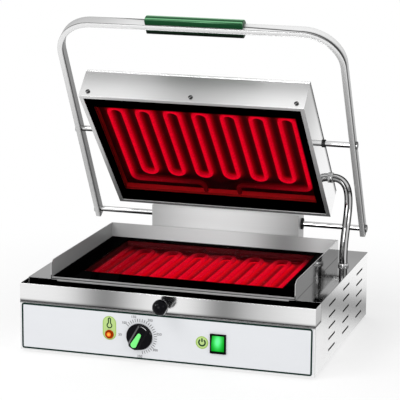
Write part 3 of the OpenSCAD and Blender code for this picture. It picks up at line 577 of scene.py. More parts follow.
def moulded(name, color, roughness, drift=0.1, scale=900.0, relief=0.05, shine=0.5, stripes=(), gleam=None,
            bands=()):
    """Plastic, rubber, print, red glow tints and black inside faces with a fine speckle, painted shade in
    bands by place and in stripes by the way the surface faces. gleam is a painted highlight: a colour that is
    added, and the bands by the way the surface faces where it shows."""
    material, tree, shader, place = new_material(name)
    grain = place_group(tree, fine_speckle, place, Scale=scale, Roughness=roughness, Drift=drift)
    level = add_bands(tree, place, grain.outputs["Tone"], bands)
    if stripes:
        level = add_bands(tree, facing(tree), level, stripes)
    shade = vector_calc(tree, "SCALE", color, level)
    if gleam:
        shown = calc(tree, "SUBTRACT", 1.0, add_bands(tree, facing(tree), None, gleam[1]))
        shade = vector_calc(tree, "ADD", shade, vector_calc(tree, "SCALE", gleam[0], shown))
    tree.links.new(shade, shader.inputs["Base Color"])
    tree.links.new(grain.outputs["Roughness"], shader.inputs["Roughness"])
    shader.inputs["Specular IOR Level"].default_value = shine
    add_bump(tree, shader, grain.outputs["Height"], relief, 0.05 * MM)
    return material


def lit_lens(name, color, glow, spot, middle, reach, stretch=(1, 1, 1), dark_ring=None):
    """Coloured lens lit from behind: its glow falls off as exp(-(distance / reach) squared) to a fifth,
    a paler spot follows the fourth power of that, and a dark ring may lie round the middle."""
    material, tree, shader, place = new_material(name)
    grain = place_group(tree, fine_speckle, place, Scale=400.0, Roughness=0.15, Drift=0.05)
    away = vector_calc(tree, "MULTIPLY", vector_calc(tree, "SUBTRACT", place, tuple(middle)), stretch)
    distance = vector_calc(tree, "LENGTH", away, (0, 0, 0), "Value")
    fall = bell(tree, distance, 0.0, reach)
    level = calc(tree, "ADD", calc(tree, "MULTIPLY", fall, 0.8), 0.2)
    tone = grain.outputs["Tone"]
    if dark_ring:
        kept = calc(tree, "SUBTRACT", 1.0, calc(tree, "MULTIPLY", bell(tree, distance, *dark_ring), 0.85))
        level = calc(tree, "MULTIPLY", level, kept)
        tone = calc(tree, "MULTIPLY", tone, kept)
    core = vector_calc(tree, "SCALE", spot, calc(tree, "POWER", fall, 4.0))
    light = vector_calc(tree, "ADD", vector_calc(tree, "SCALE", glow, level), core)
    tree.links.new(vector_calc(tree, "SCALE", color, tone), shader.inputs["Base Color"])
    tree.links.new(light, shader.inputs["Emission Color"])
    tree.links.new(grain.outputs["Roughness"], shader.inputs["Roughness"])
    shader.inputs["Emission Strength"].default_value = 1.0
    shader.inputs["Specular IOR Level"].default_value = 0.02
    return material


def glowing(name, color, glow, drift, lumps):
    """Glowing piece, the hot tube and the board's painted halo: its light follows the value kept at each
    point, with small lumps of the share given, and its light on the steel is left out."""
    material, tree, shader, place = new_material(name)
    grain = place_group(tree, fine_speckle, place, Scale=300.0, Roughness=0.7, Drift=drift)
    kept = tree.nodes.new("ShaderNodeAttribute")
    kept.attribute_name = "glow"
    path = tree.nodes.new("ShaderNodeLightPath").outputs
    bounced = calc(tree, "ADD", path["Glossy Depth"], path["Diffuse Depth"])
    seen = calc(tree, "SUBTRACT", 1.0, bounced, True)
    level = calc(tree, "MULTIPLY", calc(tree, "MULTIPLY", kept.outputs["Fac"], grain.outputs["Tone"]), seen)
    uneven = calc(tree, "MULTIPLY", calc(tree, "SUBTRACT", grain.outputs["Height"], 0.5), lumps)
    level = calc(tree, "MULTIPLY", level, calc(tree, "ADD", uneven, 1.0))
    tree.links.new(vector_calc(tree, "SCALE", color, grain.outputs["Tone"]), shader.inputs["Base Color"])
    tree.links.new(vector_calc(tree, "SCALE", glow, level), shader.inputs["Emission Color"])
    tree.links.new(grain.outputs["Roughness"], shader.inputs["Roughness"])
    shader.inputs["Emission Strength"].default_value = 1.0
    shader.inputs["Specular IOR Level"].default_value = 0.1
    return material


def plate_glass(name, tint, middle, along, half_width, half_length):
    """Dark glass that is clear over the heater pan and black round it."""
    material, tree, shader, place = new_material(name)
    grain = place_group(tree, fine_speckle, place, Scale=60.0, Roughness=0.05, Drift=0.04)
    window = place_group(tree, clear_window, place, Middle=tuple(middle), Along=tuple(along),
                         Half_Width=half_width, Half_Length=half_length, Edge=2 * MM)
    clear = calc(tree, "MULTIPLY", grain.outputs["Tone"], window.outputs["Mask"])
    tree.links.new(vector_calc(tree, "SCALE", tint, clear), shader.inputs["Base Color"])
    shader.inputs["Roughness"].default_value = 0.05
    shader.inputs["Transmission Weight"].default_value = 1.0
    shader.inputs["IOR"].default_value = 1.006
    return material


LINES_UP = (6, 6, 1400)
LINES_DEEP = (6, 1400, 6)
LINES_ACROSS = (1400, 6, 6)
LINES_ROUND = (6, 300, 300)
FINE = (300, 300, 300)
POLISHED = (60, 60, 60)
X_AXIS, Y_AXIS, Z_AXIS = (1, 0, 0), (0, 1, 0), (0, 0, 1)
WALL_PAINTED_BAND_AXIS = (0.0, 0.281, 0.96)
LID_TOP = float(LID_UP @ lid_point(0, 0, LID_HEIGHT))
LID_FRONT = float(LID_BACK @ lid_point(0, 0, 0))
LID_REAR = float(LID_BACK @ lid_point(0, LID_LENGTH, 0))
TUBE_RIGHT = (-0.956, -0.292, 0.0)
SHAFT_LIGHT = (0, 0.287, 0.958)

# Painted reflection on the side walls: a broad dark band on a slant, and painted shade in a narrow line along
# their front edge beside the drip tray.
steel_wall = steel("steel_wall", 0.92, 0.24, LINES_UP, [
    (WALL_PAINTED_BAND_AXIS, 0.0755, 0.029, 0.80), (Y_AXIS, -0.189, 0.0035, 0.45)])
# Painted shadow: a dark line across the front of the base just under the drip tray.
steel_front = steel("steel_front", 0.80, 0.24, LINES_UP, [(Z_AXIS, 0.0893, 0.0022, 0.98)])
# Painted reflection: the deck's low tone and a darker band towards its rear paint the dark reflections on it.
steel_deck = steel("steel_deck", 0.15, 0.07, LINES_DEEP, [(Y_AXIS, 0.19, 0.06, 0.35)])
# Painted shade: a thin dark line at the foot of the splash guard, where it meets the deck.
steel_guard = steel("steel_guard", 0.50, 0.08, LINES_UP, [(Z_AXIS, 0.1222, 0.0007, 0.8)])
# Painted reflection and shade: darker bands across the inside of the splash guard, which is mostly matte so
# that it stays light in the lid's shade.
steel_guard_inside = steel("steel_guard_inside", 0.90, 0.32, LINES_UP, [
    (X_AXIS, 0.117, 0.06, 0.66), (X_AXIS, -0.21, 0.12, 0.5), (X_AXIS, 0.22, 0.03, 0.3)], metal=0.2)
# Painted shade: a dark line just below the top edge of the plate's trim.
steel_trim = steel("steel_trim", 0.40, 0.30, LINES_UP, [(Z_AXIS, 0.1240, 0.0009, 0.85)], metal=0.5)
# Painted reflection: dark bands across the front of the drip tray, and painted shade in a dark line along its
# lower edge.
steel_tray = steel("steel_tray", 0.82, 0.14, LINES_UP, [
    (X_AXIS, -0.105, 0.055, 0.70), (X_AXIS, 0.102, 0.045, 0.66), (X_AXIS, 0.16, 0.06, 0.25),
    (Z_AXIS, 0.0902, 0.0030, 0.99)])
# Painted shade: dark lines along the rear and lower edges of the tray's ends, where they meet the base.
steel_tray_side = steel("steel_tray_side", 0.78, 0.14, LINES_UP, [
    (Y_AXIS, -0.150, 0.0022, 0.97), (Z_AXIS, 0.0902, 0.0022, 0.98)], rim=0.6)
# Painted reflection: darker bands across the lid and below its top edge, and a painted highlight in a bright
# line along the top edge.
steel_lid = steel("steel_lid", 0.88, 0.34, LINES_UP, [
    (X_AXIS, 0.0, 0.10, 0.42), (LID_UP, LID_TOP - 6 * MM, 0.032, 0.35), (X_AXIS, -0.22, 0.10, 0.20),
    (LID_UP, LID_TOP, 2.6 * MM, -1.2)], turn=LID_SLOPE)
# Painted reflection and shadow on the lid's sides: darker towards the front, and a dark painted shadow line
# just below the cover's edge.
steel_lid_side = steel("steel_lid_side", 0.88, 0.10, LINES_UP, [
    (LID_BACK, LID_FRONT, 0.11, 0.55), (LID_UP, LID_TOP - 4.5 * MM, 4.4 * MM, 0.98)], turn=LID_SLOPE)
# Painted shade: the rim round the glass grows darker towards the lid's rear.
steel_lid_rim = steel("steel_lid_rim", 0.60, 0.22, LINES_DEEP, [(LID_BACK, LID_REAR, 0.12, 0.6)],
                      turn=LID_SLOPE, metal=0.4)
steel_cover = steel("steel_cover", 0.95, 0.22, LINES_DEEP, turn=LID_SLOPE, metal=0.7)
# Painted reflection: soft darker bands across the lid's top and towards its rear.
steel_lid_top = steel("steel_lid_top", 0.60, 0.30, LINES_DEEP, [
    (X_AXIS, -0.06, 0.09, 0.30), (X_AXIS, 0.19, 0.07, 0.22), (LID_BACK, LID_REAR, 0.10, 0.25)],
    turn=LID_SLOPE, smudge=0.2)
# Painted reflection: the hinge box and its cover are near white and mostly matte so that they show light in
# the lid's shade, with darker bands painted towards both ends.
steel_box = steel("steel_box", 0.97, 0.30, LINES_UP, [
    (X_AXIS, -0.17, 0.085, 0.55), (X_AXIS, 0.17, 0.095, 0.66)], metal=0.1)
# Painted reflection and shade on the bail: darker halfway up the arms, dark lines along the bar by the ring
# values, and the inner face of the left arm darker.
steel_bar = steel("steel_bar", 0.80, 0.24, LINES_ACROSS, [(Z_AXIS, 0.26, 0.16, 0.32)], ring_stripes=[
    (X_AXIS, -0.70, 0.20, 0.92), ((1, 0, 3), 2.47, 0.45, 0.98), (Y_AXIS, 1.0, 0.4, 0.55),
    (Z_AXIS, -0.75, 0.3, 0.35)], metal=0.5, rim=0.3)
# Painted reflection: dark stripes on the shaft and pins by the way the surface faces, set from SHAFT_LIGHT.
turned_steel = steel("turned_steel", 0.92, 0.08, LINES_ROUND, stripes=[
    (SHAFT_LIGHT, -0.82, 0.48, 0.99), (SHAFT_LIGHT, 0.72, 0.12, 0.5)], smudge=0.03, rim=0.1)
bright_steel = steel("bright_steel", 0.74, 0.14, FINE, smudge=0.04)
# Painted shade: the slots of the steel screw heads are darker.
cap_steel = steel("cap_steel", 0.40, 0.2, FINE, ring_stripes=[(X_AXIS, 0.0, 0.9, 0.93)], smudge=0.04, rim=0.3)
dark_steel = steel("blackened_steel", 0.04, 0.35, FINE, rim=0.3)
screw_steel = steel("screw_steel", 0.03, 0.35, FINE, ring_stripes=[(X_AXIS, 0.0, 0.9, -16.0)], rim=0.3)
# Painted reflection: dark stripes round the conduit, placed by the way round the tube kept as ring.
chrome_tube = steel("chrome_tube", 0.93, 0.06, POLISHED, ring_stripes=[
    (TUBE_RIGHT, -0.90, 0.50, 0.99), (TUBE_RIGHT, -0.05, 0.33, 0.99), (TUBE_RIGHT, 0.90, 0.42, 0.995),
    (TUBE_RIGHT, 1.0, 0.25, 0.98)], smudge=0.02, rim=0.1)
chrome_ring = steel("chrome_ring", 0.42, 0.07, POLISHED, smudge=0.02, rim=0.4)
# Painted glow: the pan walls are tinted red to show the heater's red glow, on top of the tube's own light
# that falls on them.
lower_pan_painted_glow = moulded("lower_pan_painted_glow", (0.10, 0.015, 0.015), 0.6, drift=0.4, shine=0.05)
upper_pan_painted_glow = moulded("upper_pan_painted_glow", (0.42, 0.02, 0.02), 0.6, drift=0.4, shine=0.05)
black_rubber = moulded("black_rubber", (0.020, 0.020, 0.021), 0.6, relief=0.2)
# Black for the plates' seals, and as painted shade on the lid cover's sides.
black_seal_and_painted_shade = moulded("black_seal_and_painted_shade", (0.004, 0.004, 0.004), 0.7, relief=0.1, shine=0.05)
black_plastic = moulded("black_plastic", (0.002, 0.002, 0.002), 0.35, shine=0.015)
# Painted highlights on the ball: a pale crescent on its right and a faint small spot, by the way the surface
# faces.
ball_black = moulded("ball_black", (0.002, 0.002, 0.003), 0.10, relief=0.02, shine=0.05, gleam=(
    (0.55, 0.55, 0.56), [((0.86, 0.16, -0.484), 0.86, 0.05, 0.9), ((-0.35, -0.80, 0.49), 1.0, 0.004, 0.12)]))
# Painted highlights on the dial: a pale spot on its rim at the upper right and a fainter one at the left.
dial_black = moulded("dial_black", (0.002, 0.002, 0.003), 0.10, relief=0.02, shine=0.06, gleam=(
    (0.75, 0.75, 0.76), [((0.42, -0.76, 0.50), 1.0, 0.04, 1.0), ((-0.80, -0.57, 0.19), 1.0, 0.05, 0.16)]))
# Black for inside faces: inside the base it is painted shade, so that the wall slots show black; the drip
# tray is black inside.
black_inside = moulded("black_inside", (0.002, 0.002, 0.002), 0.5, shine=0.03)
pointer_green = moulded("dial_green", (0.16, 0.74, 0.18), 0.35, shine=0.2)
panel_film = moulded("panel_film", (0.575, 0.585, 0.605), 0.35, drift=0.03, relief=0.03, shine=0.3)
print_border = moulded("print_border", (0.0015, 0.016, 0.011), 0.5, shine=0.05)
print_green = moulded("print_green", (0.003, 0.030, 0.012), 0.5, shine=0.05)
print_pale = moulded("print_pale", (0.38, 0.52, 0.19), 0.5, shine=0.1)
print_leaf = moulded("print_leaf", (0.26, 0.40, 0.07), 0.5, shine=0.1)
print_black = moulded("print_black", (0.01, 0.01, 0.01), 0.5, shine=0.05)
# Painted shade and highlights on the sleeve: darker on faces that look down and on its lower lip, with pale
# painted highlights in two stripes by the way the surface faces.
GRIP_LEVEL = float(ARM_UP @ (SHAFT + BAIL_REACH * ARM_UP))
grip_green = moulded(
    "sleeve_green", (0.004, 0.045, 0.014), 0.25, shine=0.06, stripes=[(ARM_UP, -0.9, 0.5, 0.95)],
    bands=[(ARM_UP, GRIP_LEVEL - 12 * MM, 8 * MM, 0.97)],
    gleam=((0.20, 0.46, 0.25), [(ARM_BACK, -0.20, 0.075, 0.9), (ARM_BACK, 0.46, 0.24, 0.95)]))
white_ceramic = moulded("white_ceramic", (0.72, 0.70, 0.66), 0.6, drift=0.15)
LAMP_SPOT = node_middle("pilot_lens") + np.array((0.0, -2.5, 0.5)) * MM
# The rocker's glow centres above its middle, where its paler spot is a painted highlight.
ROCKER_SPOT = node_middle("rocker_button") + np.array((0.0, -6.0, 4.5)) * MM
lamp_orange = lit_lens("lamp_orange", (0.12, 0.006, 0.0), (0.85, 0.085, 0.0), (1.0, 0.65, 0.10), LAMP_SPOT,
                       5.0 * MM, dark_ring=(5.0 * MM, 0.8 * MM))
lit_green = lit_lens("rocker_green", (0.001, 0.04, 0.006), (0.002, 0.70, 0.020), (0.17, 0.45, 0.36),
                     ROCKER_SPOT, 19 * MM, (1.7, 0.5, 1.0))
hot_tube = glowing("hot_tube", (0.05, 0.002, 0.002), (1.0, 0.0, 0.030), 0.20, 0.9)
# Painted halo: the board glows round the tube, standing in for the tube's light spread round it.
board_painted_halo = glowing("board_painted_halo", (0.010, 0.004, 0.004), (1.0, 0.0, 0.012), 0.25, 0.2)

lower_pan_middle = node_middle("lower_insulation")
upper_pan_middle = node_middle("upper_insulation")
PAN_HALF = node_box("lower_insulation")[1][0]
PAN_HALF_LENGTH = (node_box("lower_insulation")[1][1] - node_box("lower_insulation")[0][1]) / 2
GLASS_TINT = (0.92, 0.50, 0.60)
lower_plate_glass = plate_glass("lower_plate_glass", GLASS_TINT, lower_pan_middle, BACK, PAN_HALF,
                                PAN_HALF_LENGTH)
upper_plate_glass = plate_glass("upper_plate_glass", GLASS_TINT, upper_pan_middle, LID_BACK, PAN_HALF,
                                PAN_HALF_LENGTH)

# CAD nodes that stay, with their finishes
for node, material in {
        "lower_seal": black_seal_and_painted_shade, "upper_seal": black_seal_and_painted_shade, "lower_pan": lower_pan_painted_glow,
        "upper_pan": upper_pan_painted_glow, "thermostat_bulb": bright_steel, "thermostat": black_plastic,
        "lamp_holder": black_plastic, "hinge_bushes": dark_steel, "counter_springs": dark_steel,
        "spring_collars": dark_steel, "terminal_block": white_ceramic, "thermostat_spindle": bright_steel,
        "pin_bushes": dark_steel}.items():
    finishes = frame["nodes"][node].data.materials
    finishes.clear()
    finishes.append(material)


# Folded sheet pieces
# The base's inner faces and the bottom plate's top are black as painted shade.
softened("base_shell", "base", steel_wall, [
    (black_inside, inner_faces("base_shell")), (steel_front, faces_to(-BACK))], 0.2 * MM)
softened("bottom_plate", "base", steel_wall, [(black_inside, faces_to(UP))])
softened("top_deck", "base", steel_deck)
softened("splash_guard", "base", steel_guard, [(steel_guard_inside, inner_faces("splash_guard"))])
softened("plate_frame", "base", steel_trim, edge=0.25 * MM)
softened("hinge_box", "base", steel_box)
softened("hinge_cover", "base", steel_box)
softened("control_panel", "base", panel_film, edge=0.2 * MM)
softened("rocker_housing", "base", black_plastic, edge=0.6 * MM)
softened("rocker_button", "rocker", lit_green, edge=0.7 * MM)
softened("drip_tray", "tray", steel_tray, [
    (steel_tray_side, faces_sideways), (black_inside, inner_faces("drip_tray"))])
softened("lower_glass", "base", lower_plate_glass)
softened("upper_glass", "lid", upper_plate_glass)
softened("lid_shell", "lid", steel_lid, [
    (steel_lid_side, faces_sideways), (steel_lid_rim, faces_to(-LID_UP))])
# The cover's left and right faces are black: a painted shadow line under the cover's edge.
softened("lid_cover", "lid", steel_cover, [
    (black_seal_and_painted_shade, faces_sideways), (steel_lid_top, faces_to(LID_UP))])


# Heaters
LEGS = 14
LEG_PITCH = 25.65 * MM
TUBE_RADIUS = 4 * MM
BEND_RADIUS = LEG_PITCH / 2
HEATER_LENGTH = 196 * MM
LEAD_ROW = 214.4 * MM
LEAD_PLACES = (-34 * MM, 30 * MM)
PAN_LENGTH = 250.8 * MM
BOARD_BEHIND = 4.3 * MM
BOARD_THICK = 12 * MM
LEFT_FADE_FROM = -0.06
LEFT_FADE_OVER = 0.10
REAR_FADE_FROM = HEATER_LENGTH - 50 * MM
REAR_FADE_OVER = 44 * MM


def heater_path(offset, lead):
    """Flat path of the tube: in from the left lead, along behind the bends, up and down the legs with half
    circles between them, and back to the right lead. Also the heat along it, which fades to the lead's
    share."""
    edge = (LEGS - 1) / 2 * LEG_PITCH
    front = BEND_RADIUS + TUBE_RADIUS
    rear = HEATER_LENGTH - BEND_RADIUS - TUBE_RADIUS
    end = PAN_LENGTH - offset
    left, right = LEAD_PLACES
    stretches = [np.array([(left, end)]),
                 arc((left - BEND_RADIUS, LEAD_ROW + BEND_RADIUS), BEND_RADIUS, 0, -90),
                 arc((-edge + BEND_RADIUS, LEAD_ROW - BEND_RADIUS), BEND_RADIUS, 90, 180)]
    for leg in range(LEGS - 1):
        x = -edge + (leg + 0.5) * LEG_PITCH
        turns = (front, 360) if leg % 2 == 0 else (rear, 0)
        stretches.append(arc((x, turns[0]), BEND_RADIUS, 180, turns[1], 13))
    stretches += [arc((edge - BEND_RADIUS, LEAD_ROW - BEND_RADIUS), BEND_RADIUS, 0, 90),
                  arc((right + BEND_RADIUS, LEAD_ROW + BEND_RADIUS), BEND_RADIUS, 270, 180),
                  np.array([(right, end)])]
    path = np.concatenate(stretches)
    step = np.linalg.norm(np.diff(path, axis=0), axis=1)
    fine = [np.linspace(a, b, max(2, int(length / (6 * MM)) + 1), endpoint=False)
            for a, b, length in zip(path[:-1], path[1:], step)]
    path = np.concatenate(fine + [path[-1:]])
    behind = np.clip((path[:, 1] - (LEAD_ROW - 22 * MM)) / (20 * MM), 0, 1)
    inward = np.clip((edge - np.abs(path[:, 0])) / (110 * MM), 0, 1)
    return path, 1 - behind * (1 - lead[0] + (lead[0] - lead[1]) * inward)


def build_heater(which, origin, along, crest, body, offset, lead, tube, board, left_fade, rear_fade, ahead):
    """Tube and board of one plate. The tube's round section is carried along the heater path, and its glow is
    painted brightest where it faces the glass and dimmer on its flanks. The board's front is a grid with a
    painted halo of the tube's light: its glow falls as exp(-(distance from the tube / reach) to a power),
    down to a least share. tube is its level and flank share; board is its level, reach, power and share. The
    board's painted glow also runs on along the legs, ahead of the front bends, by the length ahead."""
    path, heat = heater_path(offset, lead)
    heat = heat * (1 - left_fade * np.clip((LEFT_FADE_FROM - path[:, 0]) / LEFT_FADE_OVER, 0, 1))
    dim = 1 - rear_fade * np.clip((path[:, 1] - REAR_FADE_FROM) / REAR_FADE_OVER, 0, 1)
    direction = np.gradient(path, axis=0)
    direction /= np.linalg.norm(direction, axis=1, keepdims=True)
    sideways = direction[:, 1:] * RIGHT - direction[:, :1] * along
    centre = origin + path[:, :1] * RIGHT + path[:, 1:] * along
    section = circle(14)
    rings = sweep(section * TUBE_RADIUS, centre, sideways, crest)
    # Painted shade on the tube: its glow is dimmer on the flanks than where it faces the glass.
    shown = tube[0] * (tube[1] + (1 - tube[1]) * np.clip(section[:, 1], 0, 1))
    add_piece(which + "_heater_tube", skin(rings), body, hot_tube, [which + "_element"],
              {"glow": with_poles((heat * dim)[:, None] * shown)})
    # The board's glow is a painted halo round the tube.
    x = np.linspace(-PAN_HALF, PAN_HALF, 121)
    y = np.linspace(0.3 * MM - offset, 0.3 * MM - offset + 2 * PAN_HALF_LENGTH, 83)
    grid = np.stack(np.meshgrid(x, y, indexing="ij"), -1)
    legs = (np.arange(LEGS) - (LEGS - 1) / 2) * LEG_PITCH
    onward = np.arange(-ahead, BEND_RADIUS if ahead else 0, 4 * MM)
    onward = np.stack(np.meshgrid(legs, onward, indexing="ij"), -1).reshape(-1, 2)
    fade = 1 - left_fade * np.clip((LEFT_FADE_FROM - onward[:, 0]) / LEFT_FADE_OVER, 0, 1)
    heat = np.concatenate([heat, fade])
    distance = np.linalg.norm(grid[:, :, None] - (np.concatenate([path, onward]) + (origin[0], 0.0)), axis=3)
    level, reach, power, least = board
    fall = least + (1 - least) * np.exp(-(distance.min(2) / reach) ** power)
    glow = level * heat[distance.argmin(2)] * fall
    front = origin * (0, 1, 1) + grid[..., :1] * RIGHT + grid[..., 1:] * along - BOARD_BEHIND * crest
    rear = front[:, [-1, 0]] - BOARD_THICK * crest
    add_piece(which + "_board", prism(np.concatenate([front, rear], 1)), body, board_painted_halo,
              [which + "_insulation"], {"glow": np.append(glow, np.zeros((len(x), 2)), 1).ravel()})


lower_element_low, lower_element_high = node_box("lower_element")
lower_heater = np.array((1.5 * MM, lower_element_low[1], lower_element_high[2] - TUBE_RADIUS))
upper_heater = lid_point(5.8 * MM, 41 * MM, 12.2 * MM)
build_heater("lower", lower_heater, BACK, UP, "base", 15.4 * MM, (0.12, 0.04), (0.72, 0.9),
             (0.74, 9.5 * MM, 4, 0.20), 0.65, 0.85, 18 * MM)
build_heater("upper", upper_heater, LID_BACK, -LID_UP, "lid", 9 * MM, (0.40, 0.07), (0.78, 0.5),
             (0.40, 6.0 * MM, 2, 0.03), 0.0, 0.0, 0.0)


# Bail
BAR_BEND = 62 * MM + BAR_THICK / 2
ARM_TAIL = 12 * MM
ARM_X = node_box("bail")[1][0] - BAR_THICK / 2


def build_bail():
    """Flat bar with rounded edges carried up one arm, round two wide bends and down the other arm."""
    top = BAIL_REACH - BAR_BEND
    side = ARM_X - BAR_BEND
    rise = np.linspace(-ARM_TAIL, top, 24)[:-1]
    left = np.stack([np.full_like(rise, -ARM_X), rise], -1)
    bends = arc((-side, top), BAR_BEND, 180, 90, 16), arc((side, top), BAR_BEND, 90, 0, 16)
    flat = np.concatenate([left, *bends, left[::-1] * (-1, 1)])
    step = np.gradient(flat, axis=0)
    step /= np.linalg.norm(step, axis=1, keepdims=True)
    out = -step[:, 1:] * RIGHT + step[:, :1] * ARM_UP
    path = SHAFT + flat[:, :1] * RIGHT + flat[:, 1:] * ARM_UP
    profile = rounded_rectangle(BAR_THICK / 2, BAR_WIDE / 2, 1.1 * MM, 4)
    # The ring values place the bar's painted reflection and shade: the place across its width, the inner face
    # of the left arm, and the outer faces by side.
    outward = outline_normals(profile)[:, 0]
    across = flat[:, :1] / ARM_X
    narrow = 1 + 1.6 * np.clip((ARM_X - np.abs(flat[:, :1])) / BAR_BEND, 0, 1)
    depth = narrow * (profile[:, 1] / (BAR_WIDE / 2) + 1) - 1
    ring = np.stack(np.broadcast_arrays(depth, (across < -0.97) * np.clip(-outward, 0, 1),
                                        across * np.clip(outward, 0, 1)), -1)
    add_piece("bail_bar", skin(sweep(profile, path, out, ARM_BACK)), "arm", steel_bar, ["bail"],
              {"ring": with_poles(ring)})


GRIP_RADIUS = 16 * MM
GRIP_PROUD = 2 * MM


def build_grip():
    """Round sleeve on the cross bar: a circle cut flat in front, with a slot for the bar, drawn along it."""
    half = node_box("grip")[1][0]
    flat = -BAR_WIDE / 2 + GRIP_PROUD
    turn = math.degrees(math.acos(flat / GRIP_RADIUS))
    slot = np.array([(flat, -BAR_THICK / 2), (BAR_WIDE / 2, -BAR_THICK / 2), (BAR_WIDE / 2, BAR_THICK / 2),
                     (flat, BAR_THICK / 2)])
    outline = np.concatenate([arc((0, 0), GRIP_RADIUS, turn, -turn, 48), slot])
    middle = SHAFT + BAIL_REACH * ARM_UP
    path = middle + np.array([[-half], [half]]) * RIGHT
    sleeve = prism(sweep(outline, path, ARM_BACK, ARM_UP))
    piece = add_piece("grip_sleeve", sleeve, "arm", grip_green, ["grip"])
    round_edges(piece, 2.2 * MM, 3)


SHAFT_RADIUS = 5 * MM
SPIGOT_RADIUS = 3.5 * MM
ARM_INSIDE = ARM_X - BAR_THICK / 2
ARM_OUTSIDE = ARM_X + BAR_THICK / 2


def build_shaft_and_pins():
    """Turned shaft and pins: full diameter between the arms and a thinner spigot through each arm."""
    shaft = [(-ARM_OUTSIDE, SPIGOT_RADIUS), (-ARM_INSIDE, SPIGOT_RADIUS), (-ARM_INSIDE, SHAFT_RADIUS),
             (ARM_INSIDE, SHAFT_RADIUS), (ARM_INSIDE, SPIGOT_RADIUS), (ARM_OUTSIDE, SPIGOT_RADIUS)]
    add_piece("cross_shaft", turned(shaft, SHAFT, RIGHT), "arm", turned_steel,
              ["hinge_shaft"])
    inner = node_box("pin_bushes")[1][0] - 12 * MM
    pin = [(inner, SHAFT_RADIUS - 0.6 * MM), (inner + 0.6 * MM, SHAFT_RADIUS), (ARM_INSIDE, SHAFT_RADIUS),
           (ARM_INSIDE, SPIGOT_RADIUS), (ARM_OUTSIDE, SPIGOT_RADIUS)]
    pins = together([turned(pin, PIN, side * RIGHT) for side in (-1, 1)])
    add_piece("lid_pins", pins, "arm", turned_steel, ["pivot_pins"])


def add_heads(name, heads, body, material, node):
    """One piece of several slotted heads, with the place across each slot kept as ring."""
    surfaces, marks = zip(*heads)
    add_piece(name, together(surfaces), body, material, [node], {"ring": np.concatenate(marks)})


def build_screws():
    """Slotted heads: caps on the arms, small dark screws round the lid, and the rear cover's screws."""
    large = (7 * MM, 3.5 * MM, 1.8 * MM, 1.4 * MM)
    small = (4 * MM, 1.9 * MM, 2.0 * MM, 1.1 * MM)
    caps = [slotted_head(middle + side * ARM_OUTSIDE * RIGHT, side * RIGHT, ARM_UP, *large)
            for side in (-1, 1) for middle in (SHAFT, PIN)]
    add_heads("arm_caps", caps, "arm", cap_steel, "arm_screws")
    slot = (RIGHT + LID_UP) / math.sqrt(2)
    heads = [slotted_head(lid_point(x, along, 10 * MM), out, slot, *small) for x in (-186 * MM, 0.0, 186 * MM)
             for along, out in ((0.0, -LID_BACK), (LID_LENGTH, LID_BACK))]
    add_heads("lid_screw_heads", heads, "lid", screw_steel, "lid_screws")
    low, high = node_box("cover_screws")
    inset = 4 * MM
    heads = [slotted_head(np.array((x, low[1], z)), BACK, (RIGHT + UP) / math.sqrt(2), *small)
             for x in (low[0] + inset, high[0] - inset) for z in (low[2] + inset, high[2] - inset)]
    add_heads("cover_screw_heads", heads, "base", cap_steel, "cover_screws")


# Conduit and its nuts
CONDUIT_RADIUS = 7.25 * MM
CONDUIT_SPLIT = 0.72
CONDUIT_TAIL = 2 * MM
CONDUIT_RISE = np.array((0, -14, 70)) * MM
CONDUIT_REACH = np.array((45, -6, -6)) * MM
CONDUIT_SIDES = 28
NUT_PROFILE = np.array([(0, 7.25), (0, 9.5), (3.6, 9.5), (4.6, 8.9), (5, 8.2), (5, 7.25)]) * MM


def build_conduit():
    """Bent tube on a cubic curve from the deck to the lid, in two pieces, and a turned nut at each end."""
    base_low, base_high = node_box("conduit_base_nut")
    lid_low, lid_high = node_box("conduit_lid_nut")
    start = np.append((base_low + base_high)[:2] / 2, base_high[2] + CONDUIT_TAIL)
    end = np.append(lid_high[0] + 2 * CONDUIT_TAIL, (lid_low + lid_high)[1:] / 2)
    controls = np.array([start, start + CONDUIT_RISE, end + CONDUIT_REACH, end])
    foot = np.array((start[0], start[1], node_box("conduit")[0][2]))
    tip = np.array((node_box("conduit")[0][0], end[1], end[2]))

    def curve(t):
        """Cubic curve through its four control points."""
        t = t[:, None]
        weights = np.concatenate([(1 - t) ** 3, 3 * t * (1 - t) ** 2, 3 * t ** 2 * (1 - t), t ** 3], 1)
        return weights @ controls

    lower = np.concatenate([foot[None], curve(np.linspace(0, CONDUIT_SPLIT, 40))])
    upper = np.concatenate([curve(np.linspace(CONDUIT_SPLIT, 1, 24)), tip[None]])
    tangent = np.gradient(np.concatenate([lower, upper[1:]]), axis=0)
    tangent /= np.linalg.norm(tangent, axis=1, keepdims=True)
    inner = np.cross(tangent, BACK)
    inner /= np.linalg.norm(inner, axis=1, keepdims=True)
    front = np.cross(tangent, inner)
    section = circle(CONDUIT_SIDES)
    split = len(lower)
    pieces = {}
    parts = {"conduit_lower": (lower, slice(0, split)), "conduit_upper": (upper, slice(split - 1, None))}
    for name, (path, part) in parts.items():
        rings = sweep(section * CONDUIT_RADIUS, path, inner[part], front[part])
        # The ring is the way round the tube, which places the chrome's painted reflection stripes.
        ring = np.broadcast_to(np.append(section, np.zeros((CONDUIT_SIDES, 1)), 1), rings.shape)
        mesh = new_mesh(name, prism(rings), chrome_tube, {"ring": ring.reshape(-1, 3)})
        pieces[name] = link_piece(name, mesh, None)
        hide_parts("conduit")
    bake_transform(pieces["conduit_lower"])
    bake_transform(pieces["conduit_upper"])
    for name, axis, at, body in (("conduit_base_nut", UP, np.append(start[:2], base_low[2]), "base"),
                                 ("conduit_lid_nut", RIGHT, np.append(lid_low[0], end[1:]), "lid")):
        add_piece(name + "_ring", turned_hoop(NUT_PROFILE, at, axis), body, chrome_ring, [name])


